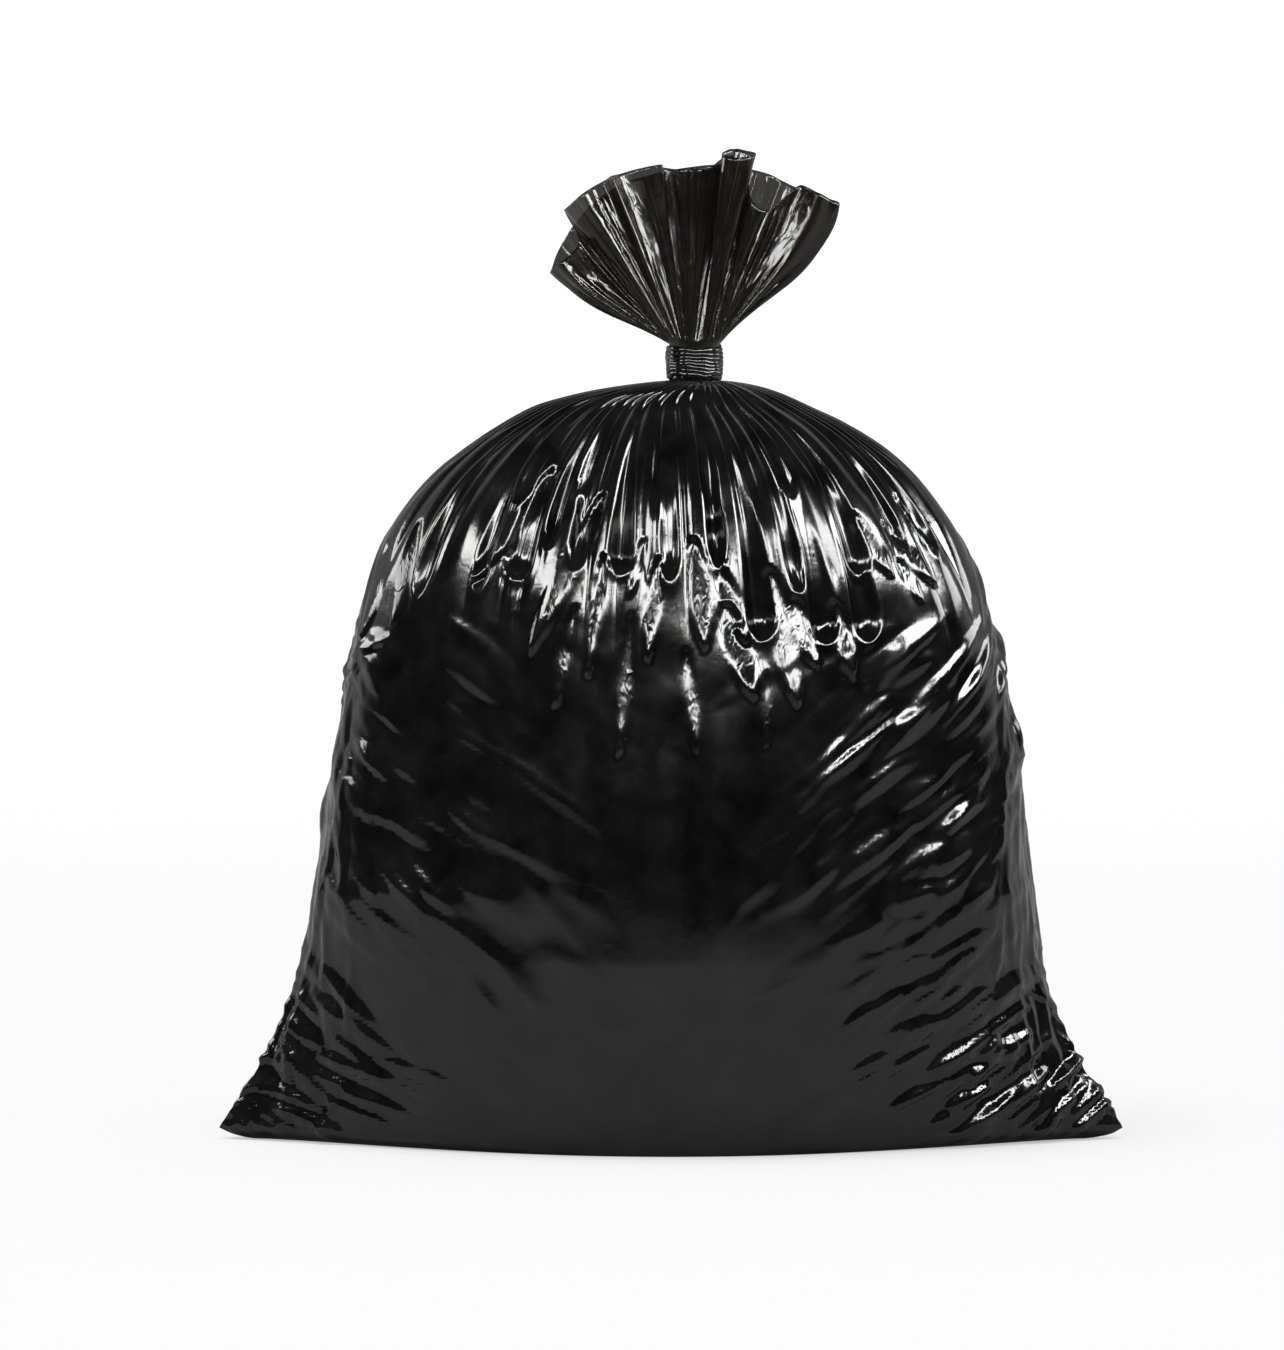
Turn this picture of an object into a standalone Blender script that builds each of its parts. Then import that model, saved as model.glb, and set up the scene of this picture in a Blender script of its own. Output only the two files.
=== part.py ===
"""Full bin bag: a sack of black film, packed full, gathered at the neck and bound with a wound strip.

Metres, +Z up. The origin lies on the floor, under the middle of the bag's box.
The front faces -Y. The film stands as one closed solid, because the bag is sealed.
"""

import math
import random

import bmesh
import bpy
import numpy as np

# Footprint and bottom corners
EAR_SPAN = 0.709
EAR_LIFT = 0.009
FOOT_WIDTH = 0.640
FOOT_DEPTH = 0.262
EAR_FLARE = 1.6
FOOT_ROUNDING = 3.0
EAR_PINCH = 1.7
PINCH_HEIGHT = 0.200
PINCH_FADE = 1.2

# Body, from the belly up to the crown
BELLY_HEIGHT = 0.150
BELLY_WIDTH = 0.572
BELLY_DEPTH = 0.332
FLANK_TAPER = 0.130
CROWN_HEIGHT = 0.593
CROWN_FULLNESS = 4.8
BODY_SHIFT = 0.0
BULGE_SHIFT = 0.012
BULGE_HEIGHT = 0.205
BULGE_WIDTH = 0.135
BULGE_RISE = 0.075
BULGE_DEPTH = 0.008

# Neck, gathered tight inside the tie
NECK_RADIUS = 0.0200
NECK_SHIFT = 0.019
NECK_REACH = 0.120
NECK_FLUTE = 0.0012
GATHERS = 32
GATHER_ROUNDNESS = 0.8

# Sharp valleys from the tie with full round folds between them, each with an end of its own
VALLEYS = 84
VALLEY_DEPTH = 0.0066
VALLEY_DEPTHS = (0.6, 1.1)
VALLEY_LENGTHS = (0.150, 0.340)
VALLEY_REACHES = (0.0040, 0.0080)
VALLEY_START = 0.020
VALLEY_FADE = 0.6
VALLEY_WIDENS = 0.140
VALLEY_WIDTHS = (0.08, 1.3)
VALLEY_DEEPENS = 0.120
VALLEY_SHALLOWEST = 0.3

# Where the back's folds end: lowest in the middle, and at this height half the shoulder's width away
SHOULDER_HEIGHT = 0.470
SHOULDER_WIDTH = 0.480
BACK_STRAY = (0.2, 0.8)

# Sunken finger folds that run from the neck over the shoulder and end round
FINGER_DEPTH = 0.0085
FINGER_FALL = 1.4
FINGER_RISE = 0.050
FINGER_TIP = 1.6
FINGER_TAPER = 0.8
FINGER_ROOT = 0.06
FINGER_ROUNDNESS = 2.5
FINGER_DEPTHS = (0.85, 1.15)
BACK_FINGERS = 15
BACK_FINGER_SPAN = 0.420
BACK_FINGER_SAG = 0.070
BACK_FINGER_STRAY = (-0.020, 0.030)
BACK_FINGER_WIDTHS = (0.007, 0.011)

# Pointed flaps of film between and under the fingers, whose lower ends stand out
FLAP_SINK = 0.35
FLAP_BEND = 1.5
MOST_FLAP_RISE = 0.0085
FLAP_TOP = 0.45
FLAP_POINT = 3.2
FLAP_FULLNESS = 1.25
FLAP_EDGE = 4
BACK_FLAPS = 22
BACK_FLAP_SPAN = 0.440
BACK_FLAP_SAG = 0.050
BACK_FLAP_STRAY = (-0.030, 0.030)
BACK_FLAP_DROPS = (0.060, 0.120)
BACK_FLAP_SPREAD = 1.5
BACK_FLAP_WIDTHS = (0.007, 0.015)
BACK_FLAP_SLANTS = (6, 10)

# Slack creases that run down and inwards from the sides, with a broad upper and a steep lower side
CREASE_LIFT = 0.0034
CREASE_UPPER = 1.45
CREASE_LOWER = 0.45
CREASE_TAPER = 0.7
CREASE_BOWS = (-0.003, 0.003)
CREASE_START = 0.012

# Frill of loose film above the tie
FRILL_WALL = 0.0010
FRILL_HOLLOW_FLOOR = 0.30
FRILL_FLUTE = 0.0026
FRILL_FLUTE_PEAK = 0.22
FRILL_FLUTE_MIDDLE = 0.6

# Tie: a strip wound round the neck
TIE_HEIGHT = 0.027
TIE_THICKNESS = 0.0030
TIE_TURNS = 8
TIE_RIDGE = 0.0012
TIE_WANDER = 0.0008
CLEARANCE = 0.0003

FILM_COLOUR = (0.012, 0.012, 0.012)
FILM_ROUGHNESS = 0.22
TIE_COLOUR = (0.010, 0.010, 0.010)
TIE_ROUGHNESS = 0.18

# Mesh resolution
AROUND = 4 * GATHERS
BODY_AROUND = 3 * AROUND
OUTLINE_SAMPLES = 600
FOOT_ROWS = 3
SKIRT_ROWS = 34
SKIRT_CROWDING = 1.5
FLANK_ROWS = 150
NECK_ROWS = 2
FRILL_ROWS = 8
LINING_ROWS = 4
RIM_STEPS = 12
SHARE_STEP = 0.01
SHARP_ANGLE = math.radians(60)
TIE_COLUMNS = 32
BAG_FACES = 10950

SEED = 5

MM = 0.001
# Keeps a share or a width, in mm, from being nothing
TINY = 0.001
# The middle of the front lies three quarters of the way round the bag from its right side
FRONT = 0.75

# The front's finger folds: each one's end across from the middle, its height and its half width, in mm
FINGERS = (
    (-196, 425, 10),
    (-149, 431, 9),
    (-120, 442, 13),
    (-95, 464, 7),
    (-74, 448, 8),
    (-39, 445, 11),
    (-1, 440, 9),
    (37, 449, 9),
    (70, 395, 12),
    (98, 430, 9),
    (119, 392, 12),
    (152, 393, 13),
    (147, 444, 11),
    (181, 462, 8),
    (206, 458, 8),
    (94, 502, 8),
    (33, 491, 9),
    (-120, 500, 9),
    (-70, 505, 8),
)

# The front's flaps: each one's top across and height, its tip's, its half width in mm, and its slant
# in degrees
FLAPS = (
    (-23, 582, -156, 508, 7, 5),
    (-92, 528, -153, 438, 11, 7),
    (-51, 509, -108, 381, 13, 9),
    (-51, 459, -63, 362, 8, 9),
    (-73, 419, -88, 342, 9, 6),
    (-30, 414, -39, 304, 9, 6),
    (-20, 472, -33, 425, 6, 7),
    (-9, 457, -18, 375, 9, 9),
    (17, 473, 26, 385, 13, 9),
    (37, 450, 58, 390, 10, 8),
    (41, 423, 63, 348, 15, 10),
    (75, 449, 96, 342, 17, 10),
    (94, 427, 111, 372, 12, 10),
    (125, 424, 139, 365, 12, 10),
    (140, 490, 169, 442, 9, 7),
    (165, 484, 205, 434, 9, 8),
    (175, 504, 206, 460, 6, 7),
    (174, 456, 194, 420, 5, 8),
    (11, 388, 20, 307, 9, 6),
    (73, 369, 71, 312, 8, 6),
    (-195, 484, -216, 398, 8, 5),
    (-218, 468, -240, 391, 7, 5),
)

# The front's slanting creases: the place across and the height of both ends, and the half width, in mm.
# The back has the same ones.
CREASES = (
    (128, 310, 173, 353, 9),
    (104, 281, 162, 321, 9),
    (154, 297, 207, 353, 10),
    (157, 250, 218, 291, 9),
    (123, 205, 200, 264, 12),
    (167, 207, 222, 238, 9),
    (152, 184, 200, 207, 7),
    (140, 164, 187, 187, 5),
    (164, 132, 207, 154, 6),
    (146, 104, 186, 131, 7),
    (176, 116, 246, 156, 8),
    (188, 106, 230, 132, 7),
    (160, 77, 215, 106, 8),
    (199, 83, 252, 119, 8),
    (193, 58, 253, 91, 9),
    (224, 45, 246, 63, 7),
    (217, 12, 256, 34, 7),
    (231, 16, 273, 47, 6),
    (244, 18, 296, 58, 8),
    (282, 8, 323, 38, 7),
    (-225, 278, -257, 303, 8),
    (-141, 233, -215, 275, 9),
    (-113, 233, -168, 266, 9),
    (-155, 182, -213, 224, 10),
    (-257, 108, -289, 149, 8),
    (-217, 69, -286, 122, 9),
    (-270, 71, -299, 101, 7),
    (-268, 30, -306, 81, 8),
    (-197, 48, -284, 73, 8),
    (-252, 7, -318, 31, 7),
    (-317, 8, -336, 22, 5),
)

# The frill's rim in order round it: fan angle, lean to the back, and reach from the neck.
# A fan angle of 0 degrees points right and 90 straight up, and a negative lean comes forward.
RIM = (
    (45, 2, 0.156),
    (55, 11, 0.146),
    (66, 7, 0.145),
    (78, 13, 0.143),
    (90, 9, 0.139),
    (101, 14, 0.137),
    (113, 9, 0.138),
    (125, 14, 0.136),
    (137, 10, 0.132),
    (147, 11, 0.128),
    (154, 5, 0.126),
    (149, -2, 0.124),
    (140, 2, 0.123),
    (134, -5, 0.143),
    (132, -14, 0.145),
    (127, -10, 0.145),
    (123, -17, 0.145),
    (117, -12, 0.145),
    (112, -18, 0.144),
    (105, -13, 0.142),
    (99, -15, 0.141),
    (101, -5, 0.139),
    (97, 2, 0.137),
    (93, -5, 0.138),
    (88, -4, 0.139),
    (85, 2, 0.141),
    (81, -2, 0.148),
    (82, -10, 0.151),
    (76, -15, 0.153),
    (71, -9, 0.154),
    (72, -2, 0.151),
    (67, 2, 0.145),
    (61, 0, 0.146),
    (57, -7, 0.150),
    (51, -13, 0.153),
    (44, -7, 0.157),
)

FULL_TURN = 2 * math.pi
TURNS = FULL_TURN * np.arange(AROUND) / AROUND
BODY_TURNS = FULL_TURN * np.arange(BODY_AROUND) / BODY_AROUND


def smooth_step(value, low, high):
    share = np.clip((value - low) / (high - low), 0, 1)
    return share * share * (3 - 2 * share)


def flank(height, belly):
    """Half a size of the body at a height, for the belly's whole size: it leans in, then domes over."""
    above = np.clip(height - BELLY_HEIGHT, 0, None)
    dome = np.sqrt(np.clip(1 - (above / (CROWN_HEIGHT - BELLY_HEIGHT)) ** CROWN_FULLNESS, 0, 1))
    return (belly / 2 - FLANK_TAPER * belly / BELLY_WIDTH * above) * dome


def half_width(height):
    """Half the bag's width at a height, with the ears that flare out at the floor."""
    below = np.clip((BELLY_HEIGHT - height) / (BELLY_HEIGHT - EAR_LIFT), 0, 1)
    ear = FOOT_WIDTH + (EAR_SPAN - FOOT_WIDTH) * np.sqrt(np.clip(height / EAR_LIFT, 0, 1))
    return flank(height, BELLY_WIDTH) + (ear - BELLY_WIDTH) / 2 * below**EAR_FLARE


def half_depth(height):
    """Half the bag's depth at a height, drawn in towards the flat foot."""
    below = np.clip(1 - height / BELLY_HEIGHT, 0, 1)
    return flank(height, BELLY_DEPTH) - (BELLY_DEPTH - FOOT_DEPTH) / 2 * below**FOOT_ROUNDING


def centre_at(width):
    """Where the section's middle lies: over the foot, and over the neck where the section is small."""
    near_neck = 1 - smooth_step(width, NECK_RADIUS, NECK_REACH)
    return BODY_SHIFT + (NECK_SHIFT - BODY_SHIFT) * near_neck


def body_heights():
    """Heights of the body's rows, evenly spaced along the outline from the floor to the neck."""
    top_width = BELLY_WIDTH / 2 - FLANK_TAPER * (CROWN_HEIGHT - BELLY_HEIGHT)
    top = (1 - (NECK_RADIUS / top_width) ** 2) ** (1 / CROWN_FULLNESS)
    climb = np.sin(np.linspace(0, math.pi / 2, OUTLINE_SAMPLES))
    fine = BELLY_HEIGHT + (CROWN_HEIGHT - BELLY_HEIGHT) * top * climb
    steps = np.hypot(np.diff(fine), np.diff(half_width(fine)))
    lengths = np.concatenate([[0], np.cumsum(steps)])
    upper = np.interp(np.linspace(0, lengths[-1], FLANK_ROWS + 1), lengths, fine)
    skirt = BELLY_HEIGHT * np.linspace(0, 1, SKIRT_ROWS, endpoint=False) ** SKIRT_CROWDING
    return np.concatenate([skirt, upper])


def plain_body(heights):
    """The bag without its folds: an oval that is pinched to a point at both ears near the floor."""
    height = heights[:, None]
    width = half_width(height)
    near_neck = 1 - smooth_step(width, NECK_RADIUS, NECK_REACH)
    depth = half_depth(height) * (1 - near_neck) + width * near_neck
    pinch = EAR_PINCH * np.clip(1 - height / PINCH_HEIGHT, 0, 1) ** PINCH_FADE
    across = np.sin(BODY_TURNS) * np.abs(np.sin(BODY_TURNS)) ** pinch
    rows = np.empty((len(heights), BODY_AROUND, 3))
    rows[..., 0] = centre_at(width) + width * np.cos(BODY_TURNS)
    rows[..., 1] = depth * across
    rows[..., 2] = height
    return rows


def outward(rows):
    """Unit normals of a stack of rings, pointing out of the bag."""
    along = np.roll(rows, -1, axis=1) - np.roll(rows, 1, axis=1)
    up = np.gradient(rows, axis=0)
    normals = np.cross(along, up)
    return normals / np.linalg.norm(normals, axis=2, keepdims=True)


def neck_distances(rows):
    """How far each point of the body lies from the neck, along the film."""
    steps = np.linalg.norm(np.diff(rows, axis=0), axis=2)
    return np.concatenate([np.cumsum(steps[::-1], axis=0)[::-1], np.zeros((1, BODY_AROUND))])


def off_line(rows, turn):
    """How far each point of the body lies beside a line that runs down from the neck."""
    column_gaps = np.linalg.norm(np.roll(rows, -1, axis=1) - rows, axis=2)
    return ((BODY_TURNS - turn + math.pi) % FULL_TURN - math.pi) * column_gaps / BODY_TURNS[1]


def turn_at(across, height, side):
    """The direction round the bag of a point on its front, side -1, or on its back, side 1."""
    width = half_width(height)
    return side * math.acos(np.clip((across - centre_at(width)) / width, -1, 1)) % FULL_TURN


def along(start, end, plane):
    """How far on each point lies between two points of a plane, 0 to 1, and how far beside their line."""
    run = end[0] - start[0]
    climb = end[1] - start[1]
    length = math.hypot(run, climb)
    forward = ((plane[0] - start[0]) * run + (plane[1] - start[1]) * climb) / length**2
    aside = ((plane[0] - start[0]) * climb - (plane[1] - start[1]) * run) / length
    return forward, aside, length


def finger(rows, heights, across, tip_height, half, side):
    """How much of its depth a sunken fold has at each point: it deepens from the neck to its round end."""
    from_neck = neck_distances(rows)
    turn = turn_at(across, tip_height, side)
    column = round(turn / BODY_TURNS[1]) % BODY_AROUND
    length = np.interp(tip_height, heights, from_neck[:, column])
    way = np.clip(from_neck / length, 0, 1)
    width = half * np.clip(way, FINGER_ROOT, 1) ** FINGER_TAPER
    tip = FINGER_TIP * half
    beyond = np.clip(from_neck - (length - tip), 0, None) / tip
    away = np.hypot(off_line(rows, turn) / width, beyond)
    inside = np.clip(1 - away**FINGER_ROUNDNESS, 0, 1)
    return smooth_step(from_neck, 0, FINGER_RISE) * inside * way**FINGER_FALL


def fingers(rows, heights, rng):
    """How deep the sunken folds of the front and of the back lie."""
    sunk = np.zeros(rows.shape[:2])
    for across, height, half in FINGERS:
        fold = finger(rows, heights, across * MM, height * MM, half * MM, -1)
        sunk = np.maximum(sunk, FINGER_DEPTH * rng.uniform(*FINGER_DEPTHS) * fold)
    for index in range(BACK_FINGERS):
        across = BACK_FINGER_SPAN * ((index + rng.uniform(*BACK_STRAY)) / BACK_FINGERS - 0.5)
        sag = BACK_FINGER_SAG * math.cos(math.pi * across / SHOULDER_WIDTH)
        height = SHOULDER_HEIGHT - sag + rng.uniform(*BACK_FINGER_STRAY)
        fold = finger(rows, heights, across, height, rng.uniform(*BACK_FINGER_WIDTHS), 1)
        sunk = np.maximum(sunk, FINGER_DEPTH * rng.uniform(*FINGER_DEPTHS) * fold)
    return sunk


def flap(start, end, half, slant, plane):
    """How far a pointed flap lifts the film: it starts sunken, rises to its tip and drops at its edges."""
    forward, aside, length = along(start, end, plane)
    onward = np.clip(forward, 0, 1)
    rise = min(length * math.tan(math.radians(slant)) / math.sqrt(FLAP_BEND), MOST_FLAP_RISE)
    taper = np.clip(onward, TINY, 1) ** FLAP_TOP * (1 - onward**FLAP_POINT)
    width = half * FLAP_FULLNESS * taper + TINY * MM
    inside = np.clip(1 - (np.abs(aside) / width) ** FLAP_EDGE, 0, 1) * (forward > 0) * (forward < 1)
    return rise * (onward**FLAP_BEND - FLAP_SINK) * inside


def flap_field(rows, rng):
    """How far the flaps of the front and of the back lift the film."""
    places = []
    for x0, z0, x1, z1, half, slant in FLAPS:
        places.append(((x0 * MM, z0 * MM), (x1 * MM, z1 * MM), half * MM, slant, -1))
    for index in range(BACK_FLAPS):
        across = BACK_FLAP_SPAN * ((index + rng.uniform(*BACK_STRAY)) / BACK_FLAPS - 0.5)
        sag = BACK_FLAP_SAG * math.cos(math.pi * across / SHOULDER_WIDTH)
        height = SHOULDER_HEIGHT - sag + rng.uniform(*BACK_FLAP_STRAY)
        drop = rng.uniform(*BACK_FLAP_DROPS)
        tip = (across * (1 + BACK_FLAP_SPREAD * drop), height - drop)
        half = rng.uniform(*BACK_FLAP_WIDTHS)
        places.append(((across, height), tip, half, rng.uniform(*BACK_FLAP_SLANTS), 1))
    plane = (rows[..., 0], rows[..., 2])
    lifted = np.zeros(rows.shape[:2])
    for start, end, half, slant, side in places:
        lift = flap(start, end, half, slant, plane) * (rows[..., 1] * side > 0)
        lifted = np.where(np.abs(lift) > np.abs(lifted), lift, lifted)
    return lifted


def valleys(rows, rng):
    """How deep the sharp valleys lie that run down from the tie."""
    from_neck = neck_distances(rows)
    sunk = np.zeros(from_neck.shape)
    for index in range(VALLEYS):
        turn = FULL_TURN * (index + rng.uniform(0, 1)) / VALLEYS
        length = rng.uniform(*VALLEY_LENGTHS)
        reach = rng.uniform(*VALLEY_REACHES) * np.clip(from_neck / VALLEY_WIDENS, *VALLEY_WIDTHS)
        begun = smooth_step(from_neck, 0, VALLEY_START)
        fade = begun * (1 - smooth_step(from_neck, VALLEY_FADE * length, length))
        deepening = np.clip(from_neck / VALLEY_DEEPENS, VALLEY_SHALLOWEST, 1)
        depth = VALLEY_DEPTH * rng.uniform(*VALLEY_DEPTHS) * deepening
        sunk = np.maximum(sunk, depth * fade * np.exp(-np.abs(off_line(rows, turn)) / reach))
    return sunk


def side_creases(rows, heights, rng):
    """How far the slack creases lift the film, measured round it from the middle of the front."""
    column_gaps = np.linalg.norm(np.roll(rows, -1, axis=1) - rows, axis=2)
    girth = column_gaps.sum(axis=1, keepdims=True)
    way_round = np.cumsum(column_gaps, axis=1) - column_gaps
    way_round = (way_round - FRONT * girth + girth / 2) % girth - girth / 2
    lift = np.zeros(way_round.shape)
    for x0, z0, x1, z1, half in CREASES:
        ends = []
        for across, height in ((x0 * MM, z0 * MM), (x1 * MM, z1 * MM)):
            column = round(turn_at(across, height, -1) / BODY_TURNS[1]) % BODY_AROUND
            ends.append((np.interp(height, heights, way_round[:, column]), height))
        forward, aside, _ = along(*ends, (way_round, heights[:, None]))
        inside = np.clip(4 * forward * (1 - forward), 0, 1)
        under = (aside - rng.uniform(*CREASE_BOWS) * inside) * math.copysign(1, x1 - x0)
        side = np.where(under < 0, CREASE_UPPER, CREASE_LOWER)
        width = half * MM * inside**CREASE_TAPER * side + TINY * MM
        lift = np.maximum(lift, CREASE_LIFT * np.sqrt(inside) * np.clip(1 - np.abs(under) / width, 0, 1))
    return np.maximum(lift, np.roll(lift, BODY_AROUND // 2, axis=1))


def belly_bulge(rows):
    """How far the waste pushes the middle of the front and of the back out above the foot."""
    aside = (rows[..., 0] - BODY_SHIFT - BULGE_SHIFT) / BULGE_WIDTH
    above = (rows[..., 2] - BULGE_HEIGHT) / BULGE_RISE
    return BULGE_DEPTH * np.exp(-(aside**2) - above**2)


def folded_body():
    """The body's rings with their folds. The floor's outline and the neck's ring stay plain."""
    heights = body_heights()
    rows = plain_body(heights)
    rng = random.Random(SEED)
    lift = -fingers(rows, heights, rng)
    lift += flap_field(rows, rng)
    lift -= valleys(rows, rng)
    lift += side_creases(rows, heights, rng)
    lift += belly_bulge(rows)
    lift *= smooth_step(heights, 0, CREASE_START)[:, None]
    lift[-1] = 0
    folded = rows + outward(rows) * lift[..., None]
    folded[1:, :, 2] = np.maximum(folded[1:, :, 2], heights[1] / 2)
    return folded


def flute(turns):
    """1 on a gather's crest and 0 in the valley beside it, with round crests and sharp valleys."""
    return np.abs(np.cos(turns * GATHERS / 2)) ** GATHER_ROUNDNESS


def neck_ring(height, depth):
    """One ring of the gathered neck, with a flute for each gather."""
    radius = NECK_RADIUS - depth * (1 - flute(TURNS))
    ring = np.empty((AROUND, 3))
    ring[:, 0] = NECK_SHIFT + radius * np.cos(TURNS)
    ring[:, 1] = radius * np.sin(TURNS)
    ring[:, 2] = height
    return ring


def tie_bottom():
    return CROWN_HEIGHT + CLEARANCE


def tie_top():
    return tie_bottom() + TIE_HEIGHT


def frill_foot():
    return tie_top() + CLEARANCE


def rim_ring():
    """The frill's rim: a smooth closed curve through the rim's corners, with evenly spaced points."""
    fan, lean, reach = np.array(RIM, float).T
    fan = np.radians(fan)
    lean = np.radians(lean)
    corners = np.empty((len(RIM), 3))
    corners[:, 0] = NECK_SHIFT + reach * np.cos(lean) * np.cos(fan)
    corners[:, 1] = reach * np.sin(lean)
    corners[:, 2] = frill_foot() + reach * np.cos(lean) * np.sin(fan)
    before, after, later = (np.roll(corners, shift, axis=0) for shift in (1, -1, -2))
    share = np.linspace(0, 1, RIM_STEPS, endpoint=False)[:, None, None]
    fine = 0.5 * (
        2 * corners
        + (after - before) * share
        + (2 * before - 5 * corners + 4 * after - later) * share**2
        + (3 * corners - before - 3 * after + later) * share**3
    )
    fine = fine.transpose(1, 0, 2).reshape(-1, 3)
    closed = np.vstack([fine, fine[:1]])
    lengths = np.concatenate([[0], np.cumsum(np.linalg.norm(np.diff(closed, axis=0), axis=1))])
    wanted = np.linspace(0, lengths[-1], AROUND, endpoint=False)
    return np.stack([np.interp(wanted, lengths, closed[:, axis]) for axis in range(3)], axis=1)


def frill_ring(share, rim):
    """The film's ring at a share of the way from the neck to the rim, with its flutes fading out."""
    ring = neck_ring(frill_foot(), NECK_FLUTE) * (1 - share) + rim * share
    if share <= 0 or share >= 1:
        return ring
    pitch = np.roll(ring, -1, axis=0) - np.roll(ring, 1, axis=0)
    climb = rim - neck_ring(frill_foot(), NECK_FLUTE)
    normal = np.cross(pitch, climb)
    normal /= np.linalg.norm(normal, axis=1, keepdims=True)
    strength = FRILL_FLUTE * (share / FRILL_FLUTE_PEAK) * math.exp(1 - share / FRILL_FLUTE_PEAK)
    return ring + normal * (strength * (flute(TURNS) - FRILL_FLUTE_MIDDLE))[:, None]


def lining_ring(share, rim):
    """The inside of the frill's film, one wall in from its outside."""
    ring = frill_ring(share, rim)
    along = np.roll(ring, -1, axis=0) - np.roll(ring, 1, axis=0)
    upper = min(share + SHARE_STEP, 1)
    up = frill_ring(upper, rim) - frill_ring(upper - 2 * SHARE_STEP, rim)
    inward = np.cross(up, along)
    return ring + FRILL_WALL * inward / np.linalg.norm(inward, axis=1, keepdims=True)


def bridge(mesh, lower, upper):
    """Joins two rings with a band of faces that point outwards. One may have several times the points."""
    count = min(len(lower), len(upper))
    below = len(lower) // count
    above = len(upper) // count
    for column in range(count):
        left = [lower[(column * below + step) % len(lower)] for step in range(below + 1)]
        right = [upper[(column * above + step) % len(upper)] for step in range(above + 1)]
        mesh.faces.new((*left, *right[::-1]))


def close_ring(mesh, ring, centre):
    """Closes a ring with a fan of triangles round its middle."""
    for column in range(len(ring)):
        mesh.faces.new((ring[column], ring[(column + 1) % len(ring)], centre))


def add_object(name, mesh, colour, roughness):
    """Makes an object of a mesh, smooth where it is round, with its own material."""
    material = bpy.data.materials.new(name)
    material.use_nodes = True
    shader = material.node_tree.nodes["Principled BSDF"]
    shader.inputs["Base Color"].default_value = (*colour, 1)
    shader.inputs["Roughness"].default_value = roughness
    shader.inputs["Metallic"].default_value = 0.0
    data = bpy.data.meshes.new(name)
    mesh.to_mesh(data)
    mesh.free()
    data.materials.append(material)
    data.shade_smooth()
    data.set_sharp_from_angle(angle=SHARP_ANGLE)
    made = bpy.data.objects.new(name, data)
    bpy.context.scene.collection.objects.link(made)
    return made


def make_bag():
    """The film from the underside up through the neck to the rim, and back down inside the frill."""
    body = folded_body()
    rim = rim_ring()
    neck_heights = np.linspace(tie_bottom(), frill_foot(), NECK_ROWS)
    neck = [neck_ring(height, NECK_FLUTE) for height in neck_heights]
    frill = [frill_ring(share, rim) for share in np.linspace(0, 1, FRILL_ROWS + 1)[1:]]
    lining = [lining_ring(share, rim) for share in np.linspace(1, FRILL_HOLLOW_FLOOR, LINING_ROWS)]
    underside = body[0] * (0.5, 0.5, 0)

    coarse = BODY_AROUND // AROUND
    feet = [ring[::coarse] for ring in body[:FOOT_ROWS]]
    film = list(body[FOOT_ROWS:-1])
    top = body[-1][::coarse]

    mesh = bmesh.new()
    shapes = [underside[::coarse], *feet, *film, top, *neck, *frill, *lining]
    rings = [[mesh.verts.new(point) for point in ring] for ring in shapes]
    close_ring(mesh, rings[0][::-1], mesh.verts.new((0, 0, 0)))
    for lower, upper in zip(rings, rings[1:]):
        bridge(mesh, lower, upper)
    close_ring(mesh, rings[-1], mesh.verts.new(lining[-1].mean(axis=0)))
    bmesh.ops.triangulate(mesh, faces=mesh.faces[:])
    faces = len(mesh.faces)
    bag = add_object("bag", mesh, FILM_COLOUR, FILM_ROUGHNESS)

    film_start = (1 + len(feet)) * AROUND
    smooth_film = bag.vertex_groups.new(name="body film")
    smooth_film.add(list(range(film_start, film_start + len(film) * BODY_AROUND)), 1.0, "REPLACE")
    fewer = bag.modifiers.new("fewer faces where the film is smooth", "DECIMATE")
    fewer.ratio = BAG_FACES / faces
    fewer.vertex_group = smooth_film.name


def tie_ridge(level, turn):
    """A point of the tie's outside: odd levels are the backs of the strip's turns."""
    back = level % 2
    wander = TIE_WANDER * math.sin(2 * turn + level) if 0 < level < 2 * TIE_TURNS else 0
    radius = NECK_RADIUS + CLEARANCE + TIE_THICKNESS - TIE_RIDGE * (1 - back)
    return radius, tie_bottom() + TIE_HEIGHT * level / (2 * TIE_TURNS) + wander


def make_tie():
    """The strip's turns as one ring with a ridge for each turn."""
    inner = NECK_RADIUS + CLEARANCE
    mesh = bmesh.new()
    loops = []
    for turn in FULL_TURN * np.arange(TIE_COLUMNS) / TIE_COLUMNS:
        loop = [(inner, tie_bottom()), (inner, tie_top())]
        loop += [tie_ridge(level, turn) for level in range(2 * TIE_TURNS, -1, -1)]
        loops.append(
            [
                mesh.verts.new((NECK_SHIFT + radius * math.cos(turn), radius * math.sin(turn), height))
                for radius, height in loop
            ]
        )
    for first, second in zip(loops, loops[1:] + loops[:1]):
        bridge(mesh, first, second)
    bmesh.ops.recalc_face_normals(mesh, faces=mesh.faces[:])
    bmesh.ops.triangulate(mesh, faces=mesh.faces[:])
    add_object("neck_tie", mesh, TIE_COLOUR, TIE_ROUGHNESS)


for old in list(bpy.data.objects):
    bpy.data.objects.remove(old)
make_bag()
make_tie()
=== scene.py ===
"""Looks of a full bin bag: black film over packed waste, gathered, bound and frilled at the neck."""

import math
import random

import bpy
import numpy as np
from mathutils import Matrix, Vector, noise


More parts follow.
